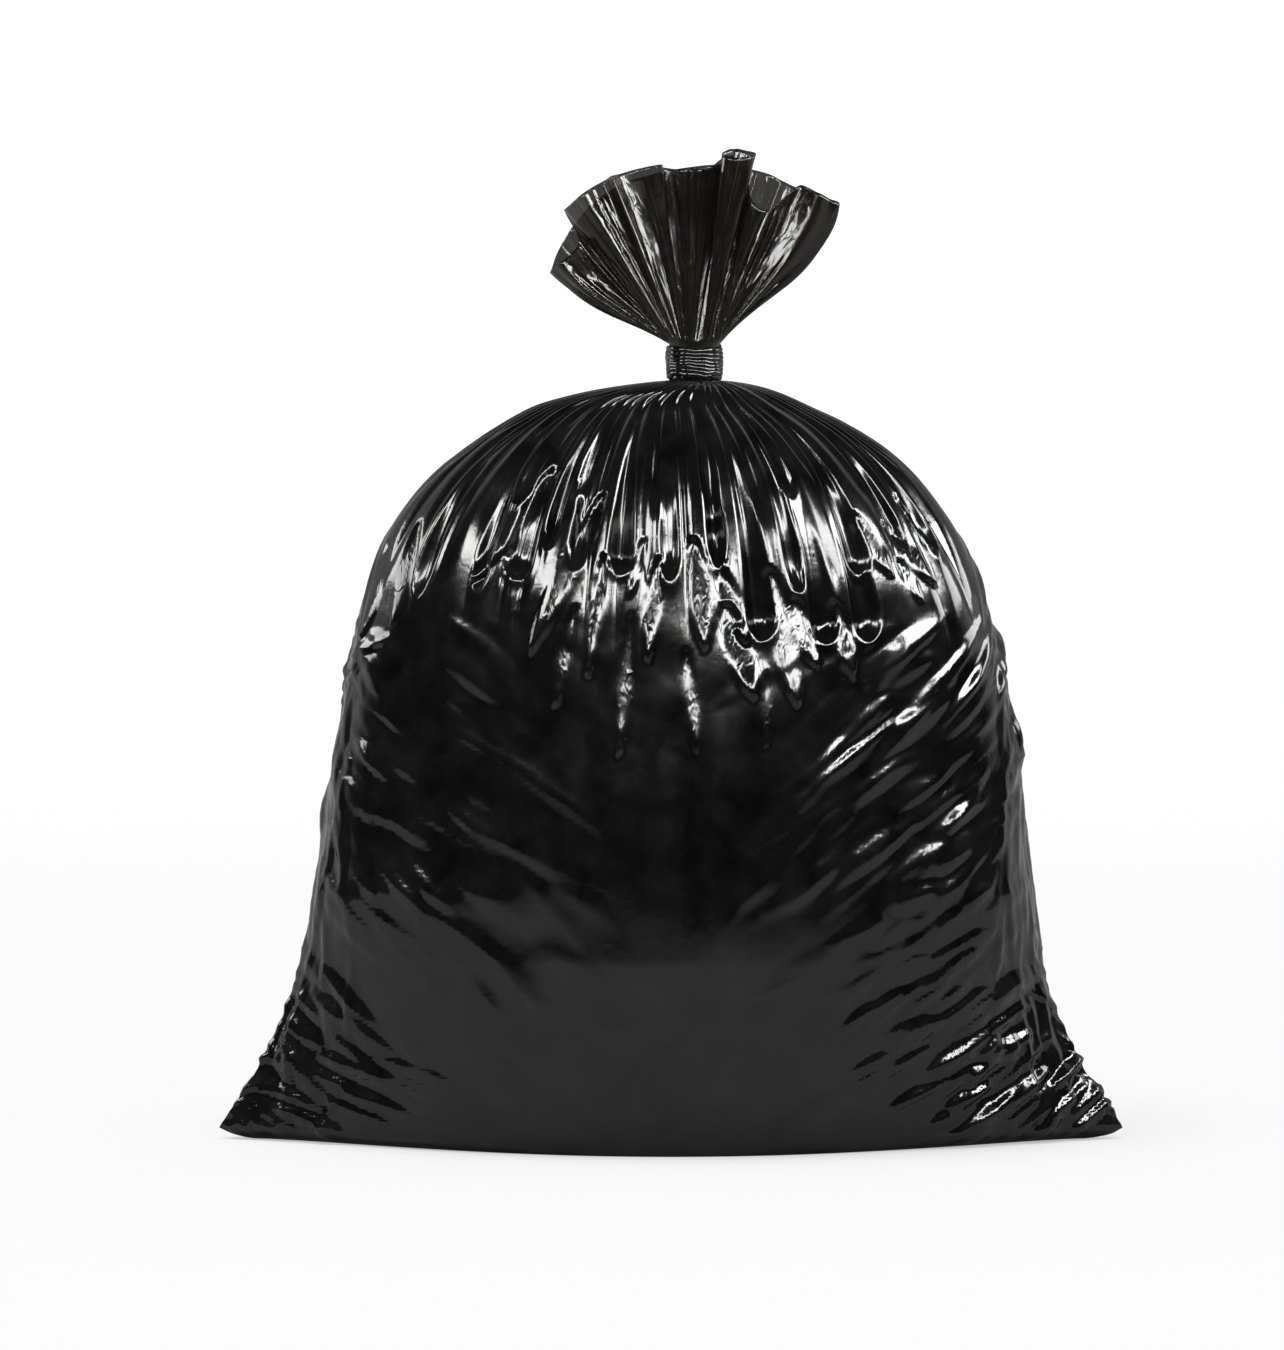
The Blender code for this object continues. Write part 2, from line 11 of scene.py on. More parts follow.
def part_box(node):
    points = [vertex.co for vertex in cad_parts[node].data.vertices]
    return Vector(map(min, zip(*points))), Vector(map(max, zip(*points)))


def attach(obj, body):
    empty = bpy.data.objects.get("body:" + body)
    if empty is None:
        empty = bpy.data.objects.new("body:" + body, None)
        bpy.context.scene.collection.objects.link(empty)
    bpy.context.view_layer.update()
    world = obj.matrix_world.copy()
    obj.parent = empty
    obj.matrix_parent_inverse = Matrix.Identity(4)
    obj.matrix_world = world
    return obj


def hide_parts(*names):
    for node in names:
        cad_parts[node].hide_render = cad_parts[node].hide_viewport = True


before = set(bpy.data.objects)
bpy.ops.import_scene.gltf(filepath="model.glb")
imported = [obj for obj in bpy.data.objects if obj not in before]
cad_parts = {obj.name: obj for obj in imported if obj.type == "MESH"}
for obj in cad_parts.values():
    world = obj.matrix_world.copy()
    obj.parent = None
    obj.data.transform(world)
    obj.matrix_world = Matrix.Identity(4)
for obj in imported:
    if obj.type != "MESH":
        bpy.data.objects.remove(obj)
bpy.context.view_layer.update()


# Camera
# The lens is long and stands far back, a little above the middle of the bag, as in the photograph.
# One pixel of the photograph's 1284 x 1350 frame is 0.78 mm at the bag.
PIXEL = 0.00078
FRAME_HEIGHT_PX = 1350
FRAME_CENTRE_PX = (642, 675)
BAG_CENTRE_PX = 670
FLOOR_PX = 1140
CAMERA_DISTANCE = 5.0
CAMERA_RISE = math.radians(2.0)

aim = Vector(
    ((FRAME_CENTRE_PX[0] - BAG_CENTRE_PX) * PIXEL, 0, (FLOOR_PX - FRAME_CENTRE_PX[1]) * PIXEL)
)
camera_data = bpy.data.cameras.new("camera")
camera_data.sensor_width = 36
camera_data.lens = camera_data.sensor_width * CAMERA_DISTANCE / (FRAME_HEIGHT_PX * PIXEL)
camera = bpy.data.objects.new("camera", camera_data)
camera.location = aim + CAMERA_DISTANCE * Vector((0, -math.cos(CAMERA_RISE), math.sin(CAMERA_RISE)))
camera.rotation_euler = (aim - camera.location).to_track_quat("-Z", "Y").to_euler()
bpy.context.scene.collection.objects.link(camera)
bpy.context.scene.camera = camera
bpy.context.scene.view_settings.view_transform = "Standard"


# Studio
# A white floor that curves up into a white backdrop, a white surround behind the bag, and large soft
# boxes in front and above. The front of the room stays dark, so that the black film reads as black.
FLOOR_HALF = 6.0
BACKDROP_DEPTH = 3.0
BACKDROP_RADIUS = 1.2
BACKDROP_HEIGHT = 5.0
BACKDROP_STEPS = 16
# From this far in front of the bag the floor's colour darkens with its distance, a painted shade for light
# falling off there, which the bag's gloss shows; only the camera sees it white
DARKER_FROM = 0.75
# What the camera adds to the lit paper at the floor, 1 m up, where less light falls, and far in front
SEEN_LOW = 0.47
SEEN_HIGH = 0.80
SEEN_AHEAD = 0.51
SEEN_IN_GLOSS = 0.03


def linear(colour):
    """An sRGB hex colour as linear red, green, blue and alpha."""
    channels = [int(colour[start : start + 2], 16) / 255 for start in (1, 3, 5)]
    return (*[c / 12.92 if c <= 0.04045 else ((c + 0.055) / 1.055) ** 2.4 for c in channels], 1)


def add_node(tree, kind, settings=None, inputs=None):
    """Adds a node with its own settings, and with values or links for its inputs by name or number."""
    node = tree.nodes.new(kind)
    for name, value in (settings or {}).items():
        setattr(node, name, value)
    for name, value in (inputs or {}).items():
        if isinstance(value, bpy.types.NodeSocket):
            tree.links.new(value, node.inputs[name])
        else:
            node.inputs[name].default_value = value
    return node


def new_material(name):
    """A material with an empty node tree."""
    material = bpy.data.materials.new(name)
    material.use_nodes = True
    material.node_tree.nodes.clear()
    return material


def mesh_object(name, points, faces, material, smooth=True):
    """An object at the origin with its place in its mesh."""
    mesh = bpy.data.meshes.new(name)
    mesh.from_pydata([tuple(point) for point in points], [], faces)
    mesh.validate()
    mesh.polygons.foreach_set("use_smooth", [smooth] * len(mesh.polygons))
    mesh.materials.append(material)
    made = bpy.data.objects.new(name, mesh)
    bpy.context.scene.collection.objects.link(made)
    return made


# Painted paper, matt, seen evenly white with only the bag's shadow; its colour darkens ahead of the bag as
# painted shade, which the gloss reflects
paper = new_material("white painted backdrop paper")
tree = paper.node_tree
spot = add_node(tree, "ShaderNodeTexCoord")
place = add_node(tree, "ShaderNodeSeparateXYZ", inputs={0: spot.outputs["Object"]})
ahead = add_node(tree, "ShaderNodeMath", {"operation": "MULTIPLY"}, {0: place.outputs["Y"], 1: -1.0})
away = add_node(tree, "ShaderNodeMath", {"operation": "MAXIMUM"}, {0: ahead.outputs[0], 1: DARKER_FROM})
near = add_node(tree, "ShaderNodeMath", {"operation": "DIVIDE"}, {0: DARKER_FROM, 1: away.outputs[0]})
far = add_node(tree, "ShaderNodeMath", {"operation": "SUBTRACT"}, {0: 1.0, 1: near.outputs[0]})
# Painted shade: the paper's colour goes from light grey near the bag to near black far in front of it
shade = add_node(
    tree,
    "ShaderNodeMix",
    {"data_type": "RGBA"},
    {"Factor": near.outputs[0], "A": linear("#101010"), "B": linear("#b2b2b2")},
)
diffuse = add_node(tree, "ShaderNodeBsdfDiffuse", inputs={"Color": shade.outputs["Result"]})
rays = add_node(tree, "ShaderNodeLightPath")
seen = add_node(
    tree,
    "ShaderNodeMath",
    {"operation": "MAXIMUM"},
    {0: rays.outputs["Is Camera Ray"], 1: rays.outputs["Is Transmission Ray"]},
)
shown = add_node(
    tree,
    "ShaderNodeMath",
    {"operation": "MULTIPLY"},
    {0: rays.outputs["Is Glossy Ray"], 1: SEEN_IN_GLOSS},
)
whiter = add_node(
    tree,
    "ShaderNodeMapRange",
    inputs={"Value": place.outputs["Z"], "To Min": SEEN_LOW, "To Max": SEEN_HIGH},
)
evened = add_node(
    tree,
    "ShaderNodeMath",
    {"operation": "MULTIPLY_ADD"},
    {0: far.outputs[0], 1: SEEN_AHEAD, 2: whiter.outputs[0]},
)
brightness = add_node(
    tree,
    "ShaderNodeMath",
    {"operation": "MULTIPLY_ADD"},
    {0: seen.outputs[0], 1: evened.outputs[0], 2: shown.outputs[0]},
)
glow = add_node(
    tree, "ShaderNodeEmission", inputs={"Color": (1, 1, 1, 1), "Strength": brightness.outputs[0]}
)
both = add_node(tree, "ShaderNodeAddShader", inputs={0: diffuse.outputs[0], 1: glow.outputs[0]})
add_node(tree, "ShaderNodeOutputMaterial", inputs={"Surface": both.outputs[0]})

profile = [(-FLOOR_HALF, 0.0)]
for step in range(BACKDROP_STEPS + 1):
    turn = math.pi / 2 * step / BACKDROP_STEPS
    y = BACKDROP_DEPTH + BACKDROP_RADIUS * math.sin(turn)
    profile.append((y, BACKDROP_RADIUS * (1 - math.cos(turn))))
profile.append((BACKDROP_DEPTH + BACKDROP_RADIUS, BACKDROP_HEIGHT))
backdrop_points = [(side * FLOOR_HALF, y, z) for side in (-1, 1) for y, z in profile]
count = len(profile)
backdrop_faces = [(i, i + count, i + 1 + count, i + 1) for i in range(count - 1)]
backdrop = mesh_object("backdrop", backdrop_points, backdrop_faces, paper)

# The surround as the gloss shows it, in front of the bag and behind it, and as it lights matt surfaces
SURROUND_FRONT = 0.015
SURROUND_BEHIND = 0.9
SURROUND_LIGHT = 0.45

world = bpy.data.worlds.new("studio")
bpy.context.scene.world = world
world.use_nodes = True
tree = world.node_tree
tree.nodes.clear()
rays = add_node(tree, "ShaderNodeLightPath")
place = add_node(tree, "ShaderNodeTexCoord")
direction = add_node(tree, "ShaderNodeSeparateXYZ", inputs={0: place.outputs["Generated"]})
behind = add_node(
    tree,
    "ShaderNodeMapRange",
    {"interpolation_type": "SMOOTHSTEP"},
    {
        "Value": direction.outputs["Y"],
        "From Min": 0.12,
        "From Max": 0.70,
        "To Min": SURROUND_FRONT,
        "To Max": SURROUND_BEHIND,
    },
)
glossy = add_node(
    tree,
    "ShaderNodeMath",
    {"operation": "MULTIPLY"},
    {0: rays.outputs["Is Glossy Ray"], 1: behind.outputs[0]},
)
plain = add_node(
    tree,
    "ShaderNodeMath",
    {"operation": "MULTIPLY"},
    {0: rays.outputs["Is Diffuse Ray"], 1: SURROUND_LIGHT},
)
lit = add_node(
    tree, "ShaderNodeMath", {"operation": "ADD"}, {0: glossy.outputs[0], 1: plain.outputs[0]}
)
clear = add_node(
    tree,
    "ShaderNodeMath",
    {"operation": "MAXIMUM"},
    {0: rays.outputs["Is Camera Ray"], 1: rays.outputs["Is Transmission Ray"]},
)
strength = add_node(
    tree, "ShaderNodeMath", {"operation": "ADD"}, {0: lit.outputs[0], 1: clear.outputs[0]}
)
sky = add_node(
    tree, "ShaderNodeBackground", inputs={"Color": (1, 1, 1, 1), "Strength": strength.outputs[0]}
)
add_node(tree, "ShaderNodeOutputWorld", inputs={"Surface": sky.outputs[0]})

# Low wide boxes that face the shoulder: they light the folds' edges in short bright strokes
LAMP_AIM = Vector((0, 0, 0.42))
SOFT_BOXES = (
    # name, azimuth and height as seen from the bag in degrees, distance, width, height, radiance
    ("left soft box", -48, 31, 2.2, 0.80, 0.34, 20.0),
    ("front soft box", -4, 28, 2.2, 1.30, 0.24, 24.0),
    ("front right soft box", 34, 28, 2.2, 1.10, 0.25, 26.0),
    ("right soft box", 70, 29, 2.2, 1.10, 0.46, 26.0),
    ("far right soft box", 106, 20, 2.2, 0.90, 0.40, 8.0),
    ("far left soft box", -108, 20, 2.2, 0.90, 0.50, 7.0),
)
for name, azimuth, rise, distance, width, height, radiance in SOFT_BOXES:
    lamp = bpy.data.lights.new(name, "AREA")
    lamp.shape = "RECTANGLE"
    lamp.size = width
    lamp.size_y = height
    lamp.energy = radiance * math.pi * width * height
    box = bpy.data.objects.new(name, lamp)
    across = math.radians(azimuth)
    up = math.radians(rise)
    box.location = LAMP_AIM + distance * Vector(
        (math.sin(across) * math.cos(up), -math.cos(across) * math.cos(up), math.sin(up))
    )
    box.rotation_euler = (LAMP_AIM - box.location).to_track_quat("-Z", "Y").to_euler()
    box.visible_diffuse = False
    box.visible_camera = False
    bpy.context.scene.collection.objects.link(box)

# A wide even light from above lights the paper and makes the bag's soft shadow on it
OVERHEAD_STRENGTH = 2.3
OVERHEAD_SPREAD = 50
OVERHEAD_TILT = (14, -6)

overhead = bpy.data.lights.new("overhead light", "SUN")
overhead.energy = OVERHEAD_STRENGTH
overhead.angle = math.radians(OVERHEAD_SPREAD)
overhead_light = bpy.data.objects.new("overhead light", overhead)
overhead_light.rotation_euler = (math.radians(OVERHEAD_TILT[0]), math.radians(OVERHEAD_TILT[1]), 0)
overhead_light.visible_glossy = False
bpy.context.scene.collection.objects.link(overhead_light)


# Bag body
# The sack below the tie: one piece of blown black polyethylene film, packed full, so that it stands on a
# flat foot with its two bottom corners drawn out. The tie gathers it, so its slack lies in finger folds
# over the shoulder, in long slanting creases down both sides and in small wrinkles at the ears.
bag_low, bag_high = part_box("bag")
tie_low, tie_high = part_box("neck_tie")

EAR_SPAN = bag_high.x - bag_low.x
EAR_LIFT = 0.009
FOOT_WIDTH = 0.640
FOOT_DEPTH = 0.262
EAR_FLARE = 1.6
FOOT_ROUNDING = 2.2
EAR_PINCH = 1.7
PINCH_HEIGHT = 0.200
PINCH_FADE = 1.2
BELLY_HEIGHT = 0.150
BELLY_WIDTH = 0.577
BELLY_SHIFT = 0.005
SHIFT_HEIGHT = 0.320
SHIFT_RISE = 0.200
BELLY_DEPTH = 0.332
FLANK_TAPER = 0.130
CROWN_HEIGHT = tie_low.z - 0.0003
CROWN_FULLNESS = 5.4
NECK_RADIUS = 0.0200
NECK_SHIFT = (tie_low.x + tie_high.x) / 2
NECK_REACH = 0.120

COLUMNS = 440
ROWS = 222
NECK_WALL = 0.012
# The rows stand closer together over the shoulder and at the foot, and further apart on the dome: by which
# share, and between which heights each of these zones starts or ends
SHOULDER_ROWS = 0.5
SHOULDER_STARTS = (0.28, 0.34)
SHOULDER_ENDS = (0.49, 0.53)
DOME_ROWS = 0.3
DOME_STARTS = (0.53, 0.57)
FOOT_ROWS = 0.3
FOOT_ENDS = (0.13, 0.19)


def smooth_step(value, low, high):
    """0 below one value and 1 above another, with a smooth change between them."""
    share = np.clip((value - low) / (high - low), 0, 1)
    return share * share * (3 - 2 * share)


def even_steps(where, weight, count):
    """Values of a fine list, picked so that the weight between any two neighbours is the same."""
    reach = np.concatenate([[0], np.cumsum((weight[1:] + weight[:-1]) / 2)])
    return np.interp(np.linspace(0, reach[-1], count), reach, where)


def flank(height, belly):
    """Half a size of the body at a height, for the belly's whole size: it leans in, then domes over."""
    above = np.clip(height - BELLY_HEIGHT, 0, None)
    dome = np.sqrt(np.clip(1 - (above / (CROWN_HEIGHT - BELLY_HEIGHT)) ** CROWN_FULLNESS, 0, 1))
    return (belly / 2 - FLANK_TAPER * belly / BELLY_WIDTH * above) * dome


def half_width(height):
    """Half the bag's width at a height, with the ears that flare out at the floor."""
    below = np.clip((BELLY_HEIGHT - height) / (BELLY_HEIGHT - EAR_LIFT), 0, 1)
    ear = FOOT_WIDTH + (EAR_SPAN - FOOT_WIDTH) * np.sqrt(np.clip(height / EAR_LIFT, 0, 1))
    return flank(height, BELLY_WIDTH) + (ear - BELLY_WIDTH) / 2 * below**EAR_FLARE


def half_depth(height):
    """Half the bag's depth at a height, drawn in towards the flat foot."""
    below = np.clip(1 - height / BELLY_HEIGHT, 0, 1)
    return flank(height, BELLY_DEPTH) - (BELLY_DEPTH - FOOT_DEPTH) / 2 * below**FOOT_ROUNDING


def sideways(height):
    """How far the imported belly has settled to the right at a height."""
    return BELLY_SHIFT * np.exp(-(((height - SHIFT_HEIGHT) / SHIFT_RISE) ** 2))


def row_heights():
    """Heights of the body's rows from the floor to the neck."""
    top_width = BELLY_WIDTH / 2 - FLANK_TAPER * (CROWN_HEIGHT - BELLY_HEIGHT)
    top = (1 - (NECK_RADIUS / top_width) ** 2) ** (1 / CROWN_FULLNESS)
    fine = np.concatenate(
        [
            np.linspace(0, 1, 400, endpoint=False) ** 2 * BELLY_HEIGHT,
            BELLY_HEIGHT + (CROWN_HEIGHT - BELLY_HEIGHT) * top * np.sin(np.linspace(0, math.pi / 2, 900)),
        ]
    )
    run = np.hypot(np.gradient(fine), np.gradient(half_width(fine)))
    shoulder = smooth_step(fine, *SHOULDER_STARTS) * (1 - smooth_step(fine, *SHOULDER_ENDS))
    dome = smooth_step(fine, *DOME_STARTS)
    foot = 1 - smooth_step(fine, *FOOT_ENDS)
    return even_steps(fine, run * (1 + SHOULDER_ROWS * shoulder - DOME_ROWS * dome + FOOT_ROWS * foot), ROWS)


def plain_body(heights):
    """The bag without its folds: an oval that is pinched to a point at both ears near the floor."""
    height = heights[:, None]
    width = half_width(height)
    near_neck = 1 - smooth_step(width, NECK_RADIUS, NECK_REACH)
    depth = half_depth(height) * (1 - near_neck) + width * near_neck
    pinch = EAR_PINCH * np.clip(1 - height / PINCH_HEIGHT, 0, 1) ** PINCH_FADE
    rows = np.empty((len(heights), COLUMNS, 3))
    rows[..., 0] = NECK_SHIFT * near_neck + sideways(height) * (1 - near_neck) + width * np.cos(TURNS)
    rows[..., 1] = depth * np.sin(TURNS) * np.abs(np.sin(TURNS)) ** pinch
    rows[..., 2] = height
    return rows


def outward(rows):
    """Unit normals of a stack of rings, pointing out of the bag."""
    along = np.roll(rows, -1, axis=1) - np.roll(rows, 1, axis=1)
    normals = np.cross(along, np.gradient(rows, axis=0))
    return normals / np.linalg.norm(normals, axis=2, keepdims=True)


# The columns stand closer together over the front, which is at three quarters of a turn. The body is about
# this deep at its sides, and this much more wide than deep over its front, from its middle.
FULL_TURN = 2 * math.pi
HALF_DEPTH = 0.17
HALF_MORE_WIDE = 0.116
FRONT_CROWDING = 0.55

fine_turns = np.linspace(0, FULL_TURN, 2401)
round_oval = HALF_DEPTH + HALF_MORE_WIDE * np.abs(np.sin(fine_turns))
crowding = round_oval - FRONT_CROWDING * HALF_DEPTH * np.sin(fine_turns)
TURNS = even_steps(fine_turns, crowding, COLUMNS + 1)[:-1]

heights = row_heights()
body = plain_body(heights)
facing = outward(body)
along_rows = np.linalg.norm(np.diff(body, axis=0), axis=2)
from_neck = np.concatenate([np.cumsum(along_rows[::-1], axis=0)[::-1], np.zeros((1, COLUMNS))])
column_gap = np.linalg.norm(np.roll(body, -1, axis=1) - body, axis=2)
per_turn = column_gap / ((np.roll(TURNS, -1) - TURNS) % FULL_TURN)
girth = column_gap.sum(axis=1, keepdims=True)
way_round = np.concatenate([np.zeros((ROWS, 1)), np.cumsum(column_gap, axis=1)[:, :-1]], axis=1)
# The way round is counted from the middle of the front
way_round = way_round - 0.75 * girth
FOLD_SEED = 5
rng = random.Random(FOLD_SEED)


def turn_at(across, height, side=-1):
    """The direction round the bag of a point, from its place across and its height; side 1 is the back."""
    near_neck = 1 - smooth_step(half_width(height), NECK_RADIUS, NECK_REACH)
    share = (across - NECK_SHIFT * near_neck - sideways(height) * (1 - near_neck)) / half_width(height)
    return side * math.acos(np.clip(share, -1, 1)) % FULL_TURN


def neck_distance(turn, height):
    """How far a height lies from the neck, along the film."""
    column = int(np.argmin(np.abs(TURNS - turn)))
    return float(np.interp(height, heights, from_neck[:, column]))


def off_line(turn):
    """How far each point lies beside a line that runs down from the neck."""
    return ((TURNS - turn + math.pi) % FULL_TURN - math.pi) * per_turn


def along(start, end, plane):
    """How far on each point lies between two points of a plane, 0 to 1, and how far beside their line."""
    run = end[0] - start[0]
    climb = end[1] - start[1]
    length = math.hypot(run, climb)
    forward = ((plane[0] - start[0]) * run + (plane[1] - start[1]) * climb) / length**2
    aside = ((plane[0] - start[0]) * climb - (plane[1] - start[1]) * run) / length
    return forward, aside, length


# Sunken folds that run from the neck, with a thin raised lip: the broad ones end round, the others pointed.
# Each is its end's place across, its height and its half width, in mm.
FINGERS = (
    (-196, 425, 10),
    (-149, 431, 9),
    (-120, 442, 13),
    (-95, 464, 7),
    (-74, 448, 8),
    (-39, 445, 11),
    (-1, 440, 9),
    (37, 449, 9),
    (70, 395, 12),
    (98, 430, 9),
    (119, 392, 12),
    (152, 393, 13),
    (147, 444, 11),
    (181, 462, 8),
    (206, 458, 8),
    (94, 502, 8),
    (33, 491, 9),
    (-120, 500, 9),
    (-70, 505, 8),
)
# Pointed flaps of film between and under them, whose lower ends stand out and catch the light.
# Each is its top's place across and height, its tip's, its half width in mm, and its slant in degrees.
FLAPS = (
    (-92, 528, -153, 438, 11, 7),
    (-51, 509, -108, 381, 13, 9),
    (-51, 459, -63, 362, 8, 9),
    (-73, 419, -88, 342, 9, 6),
    (-30, 414, -39, 304, 9, 6),
    (-20, 472, -33, 425, 6, 7),
    (-9, 457, -18, 375, 9, 9),
    (17, 473, 26, 385, 13, 9),
    (37, 450, 58, 390, 10, 8),
    (41, 423, 63, 348, 15, 10),
    (75, 449, 96, 342, 17, 10),
    (94, 427, 111, 372, 12, 10),
    (125, 424, 139, 365, 12, 10),
    (140, 490, 169, 442, 9, 7),
    (165, 484, 205, 434, 9, 8),
    (175, 504, 206, 460, 6, 7),
    (174, 456, 194, 420, 5, 8),
    (11, 388, 20, 307, 9, 6),
    (73, 369, 71, 312, 8, 6),
    (-195, 484, -216, 398, 8, 5),
    (-218, 468, -240, 391, 7, 5),
)
MM = 0.001
FINGER_DEPTH = 0.0100
FINGER_FALL = 3.0
FINGER_LIP = 0.0009
ROUND_FINGER = 0.0105
ROUND_END = 1.6
POINTED_END = 4.0
FLAP_FLATNESS = 0.9
FLAP_SINK = 0.35
FLAP_BEND = 1.5
MOST_FLAP_RISE = 0.0085


def finger(turn, length, half, depth):
    """A sunken fold from the neck, with steep walls: how deep it is and how high its lip is."""
    width = half * np.clip(from_neck / length, 0.06, 1) ** 0.8
    end_length = half * (ROUND_END if half > ROUND_FINGER else POINTED_END)
    beyond = np.clip(from_neck - (length - end_length), 0, None) / end_length
    away = np.sqrt((off_line(turn) / width) ** 2 + beyond**2)
    begun = smooth_step(from_neck, 0, 0.05)
    deepening = np.clip(from_neck / length, 0, 1) ** FINGER_FALL
    inside = np.clip(1 - away**2.5, 0, 1) * deepening
    lip = np.exp(-(((away - 1.05) / 0.22) ** 2)) * smooth_step(from_neck, 0.4 * length, 0.9 * length)
    return begun * depth * inside, begun * FINGER_LIP * lip


def flap(start, end, half, slant, plane):
    """A pointed flap that starts sunken, rises towards its tip and drops off at its edges."""
    forward, aside, length = along(start, end, plane)
    onward = np.clip(forward, 0, 1)
    rise = min(length * math.tan(math.radians(slant)) / FLAP_BEND**0.5, MOST_FLAP_RISE)
    width = half * np.clip(onward, 0.001, 1) ** 0.45 * np.clip(1 - onward**3.2, 0, 1) * 1.25 + 1e-6
    inside = np.clip(1 - (np.abs(aside) / width) ** 4, 0, 1) * (forward > 0) * (forward < 1)
    return rise * (onward**FLAP_BEND - FLAP_SINK) * inside, inside


front_plane = (np.where(body[..., 1] < 0, body[..., 0], 9), body[..., 2])
back_plane = (np.where(body[..., 1] > 0, body[..., 0], 9), body[..., 2])
sunk = np.zeros(from_neck.shape)
lips = np.zeros(from_neck.shape)
flaps = np.zeros(from_neck.shape)
crumpled = np.zeros(from_neck.shape)


def add_finger(across, height, half, side):
    """Sinks a finger fold that ends at a place of the front, side -1, or of the back, side 1."""
    turn = turn_at(across, height, side)
    inside, lip = finger(turn, neck_distance(turn, height), half, FINGER_DEPTH * rng.uniform(0.85, 1.15))
    np.maximum(sunk, inside, out=sunk)
    np.maximum(lips, lip, out=lips)


def add_flap(start, end, half, slant, plane):
    """Raises a flap between two places, where it stands out further than what is there."""
    lift, inside = flap(start, end, half, FLAP_FLATNESS * slant, plane)
    np.copyto(flaps, np.where(np.abs(lift) > np.abs(flaps), lift, flaps))
    np.maximum(crumpled, inside, out=crumpled)


for across, height, half in FINGERS:
    add_finger(across * MM, height * MM, half * MM, -1)
for x0, z0, x1, z1, half, slant in FLAPS:
    add_flap((x0 * MM, z0 * MM), (x1 * MM, z1 * MM), half * MM, slant, front_plane)

# The back has the same kinds of fold at other places
BACK_FINGERS = 15
BACK_FLAPS = 22
for index in range(BACK_FINGERS):
    across = 0.42 * ((index + rng.uniform(0.2, 0.8)) / BACK_FINGERS - 0.5)
    height = 0.47 - 0.07 * math.cos(across / 0.24 * math.pi / 2) + rng.uniform(-0.02, 0.03)
    add_finger(across, height, rng.uniform(0.007, 0.011), 1)
for index in range(BACK_FLAPS):
    across = 0.44 * ((index + rng.uniform(0.2, 0.8)) / BACK_FLAPS - 0.5)
    height = 0.47 - 0.05 * math.cos(across / 0.24 * math.pi / 2) + rng.uniform(-0.03, 0.03)
    drop = rng.uniform(0.06, 0.12)
    end = (across * (1 + 1.5 * drop), height - drop)
    add_flap((across, height), end, rng.uniform(0.007, 0.015), rng.uniform(6, 10), back_plane)

# Sharp valleys from the tie with full round folds between them, each with an end of its own
VALLEYS = 84
VALLEY_DEPTH = 0.0066
valleys = np.zeros(from_neck.shape)
for index in range(VALLEYS):
    turn = FULL_TURN * (index + rng.uniform(0, 1)) / VALLEYS
    length = rng.uniform(0.15, 0.34)
    reach = rng.uniform(0.0040, 0.0080) * np.clip(from_neck / 0.14, 0.08, 1.3)
    fade = smooth_step(from_neck, 0, 0.02) * (1 - smooth_step(from_neck, 0.6 * length, length))
    depth = VALLEY_DEPTH * rng.uniform(0.6, 1.1) * np.clip(from_neck / 0.12, 0.3, 1)
    valleys = np.maximum(valleys, depth * fade * np.exp(-np.abs(off_line(turn)) / reach))


# A crease has a broad upper side, which catches the light, and a steeper lower one. Neither is narrower
# than the space between two rows, below which a slanting crease breaks up into dots.
CREASE_UPPER = 1.45
CREASE_LOWER = 0.75
NARROWEST = 0.0042


def crease(start, end, half, lift, bow=0.0):
    """A slack fold between two points of the film, each given as its way round and its height."""
    near = (way_round - start[0] + girth / 2) % girth - girth / 2 + start[0]
    forward, aside, _ = along(start, end, (near, heights[:, None]))
    inside = np.clip(4 * forward * (1 - forward), 0, 1)
    under = (aside - bow * inside) * math.copysign(1, end[0] - start[0])
    width = half * inside**0.7 * np.where(under < 0, CREASE_UPPER, CREASE_LOWER)
    width = np.maximum(width, NARROWEST)
    return lift * inside**0.8 * np.clip(1 - (np.abs(under) / width) ** 1.4, 0, 1)


def on_front(across, height):
    """A point of the front as its way round from the front's middle, and its height."""
    row = int(np.searchsorted(heights, height))
    return float(np.interp(turn_at(across, height), TURNS, way_round[row])), height


# Slanting creases of the right side, then of the left side.
# Each is the place across and the height of both ends, and its half width, in mm.
CREASES = (
    (128, 310, 173, 353, 9),
    (104, 281, 162, 321, 9),
    (154, 297, 207, 353, 10),
    (157, 250, 218, 291, 9),
    (123, 205, 200, 264, 12),
    (167, 207, 222, 238, 9),
    (152, 184, 200, 207, 7),
    (140, 164, 187, 187, 5),
    (164, 132, 207, 154, 6),
    (146, 104, 186, 131, 7),
    (176, 116, 246, 156, 8),
    (188, 106, 230, 132, 7),
    (160, 77, 215, 106, 8),
    (199, 83, 252, 119, 8),
    (193, 58, 253, 91, 9),
    (224, 45, 246, 63, 7),
    (217, 12, 256, 34, 7),
    (231, 16, 273, 47, 6),
    (244, 18, 296, 58, 8),
    (282, 8, 323, 38, 7),
    (-225, 278, -257, 303, 8),
    (-141, 233, -215, 275, 9),
    (-113, 233, -168, 266, 9),
    (-155, 182, -213, 224, 10),
    (-257, 108, -289, 149, 8),
    (-217, 69, -286, 122, 9),
    (-270, 71, -299, 101, 7),
    (-268, 30, -306, 81, 8),
    (-197, 48, -284, 73, 8),
    (-252, 7, -318, 31, 7),
    (-317, 8, -336, 22, 5),
)
# A crease's height is this share of its half width, with more towards the foot, where the body leans out,
# and less on the left side, which is stretched smoother
CREASE_STEEPNESS = 0.30
FOOT_STEEPNESS = 0.95
LEFT_SHARE = 0.6
# A crease of this height is crumpled all over
CRUMPLED_HEIGHT = 0.0031
THIN_CREASES = 7
THIN_SHARE = 0.45
THINNEST = 5.2

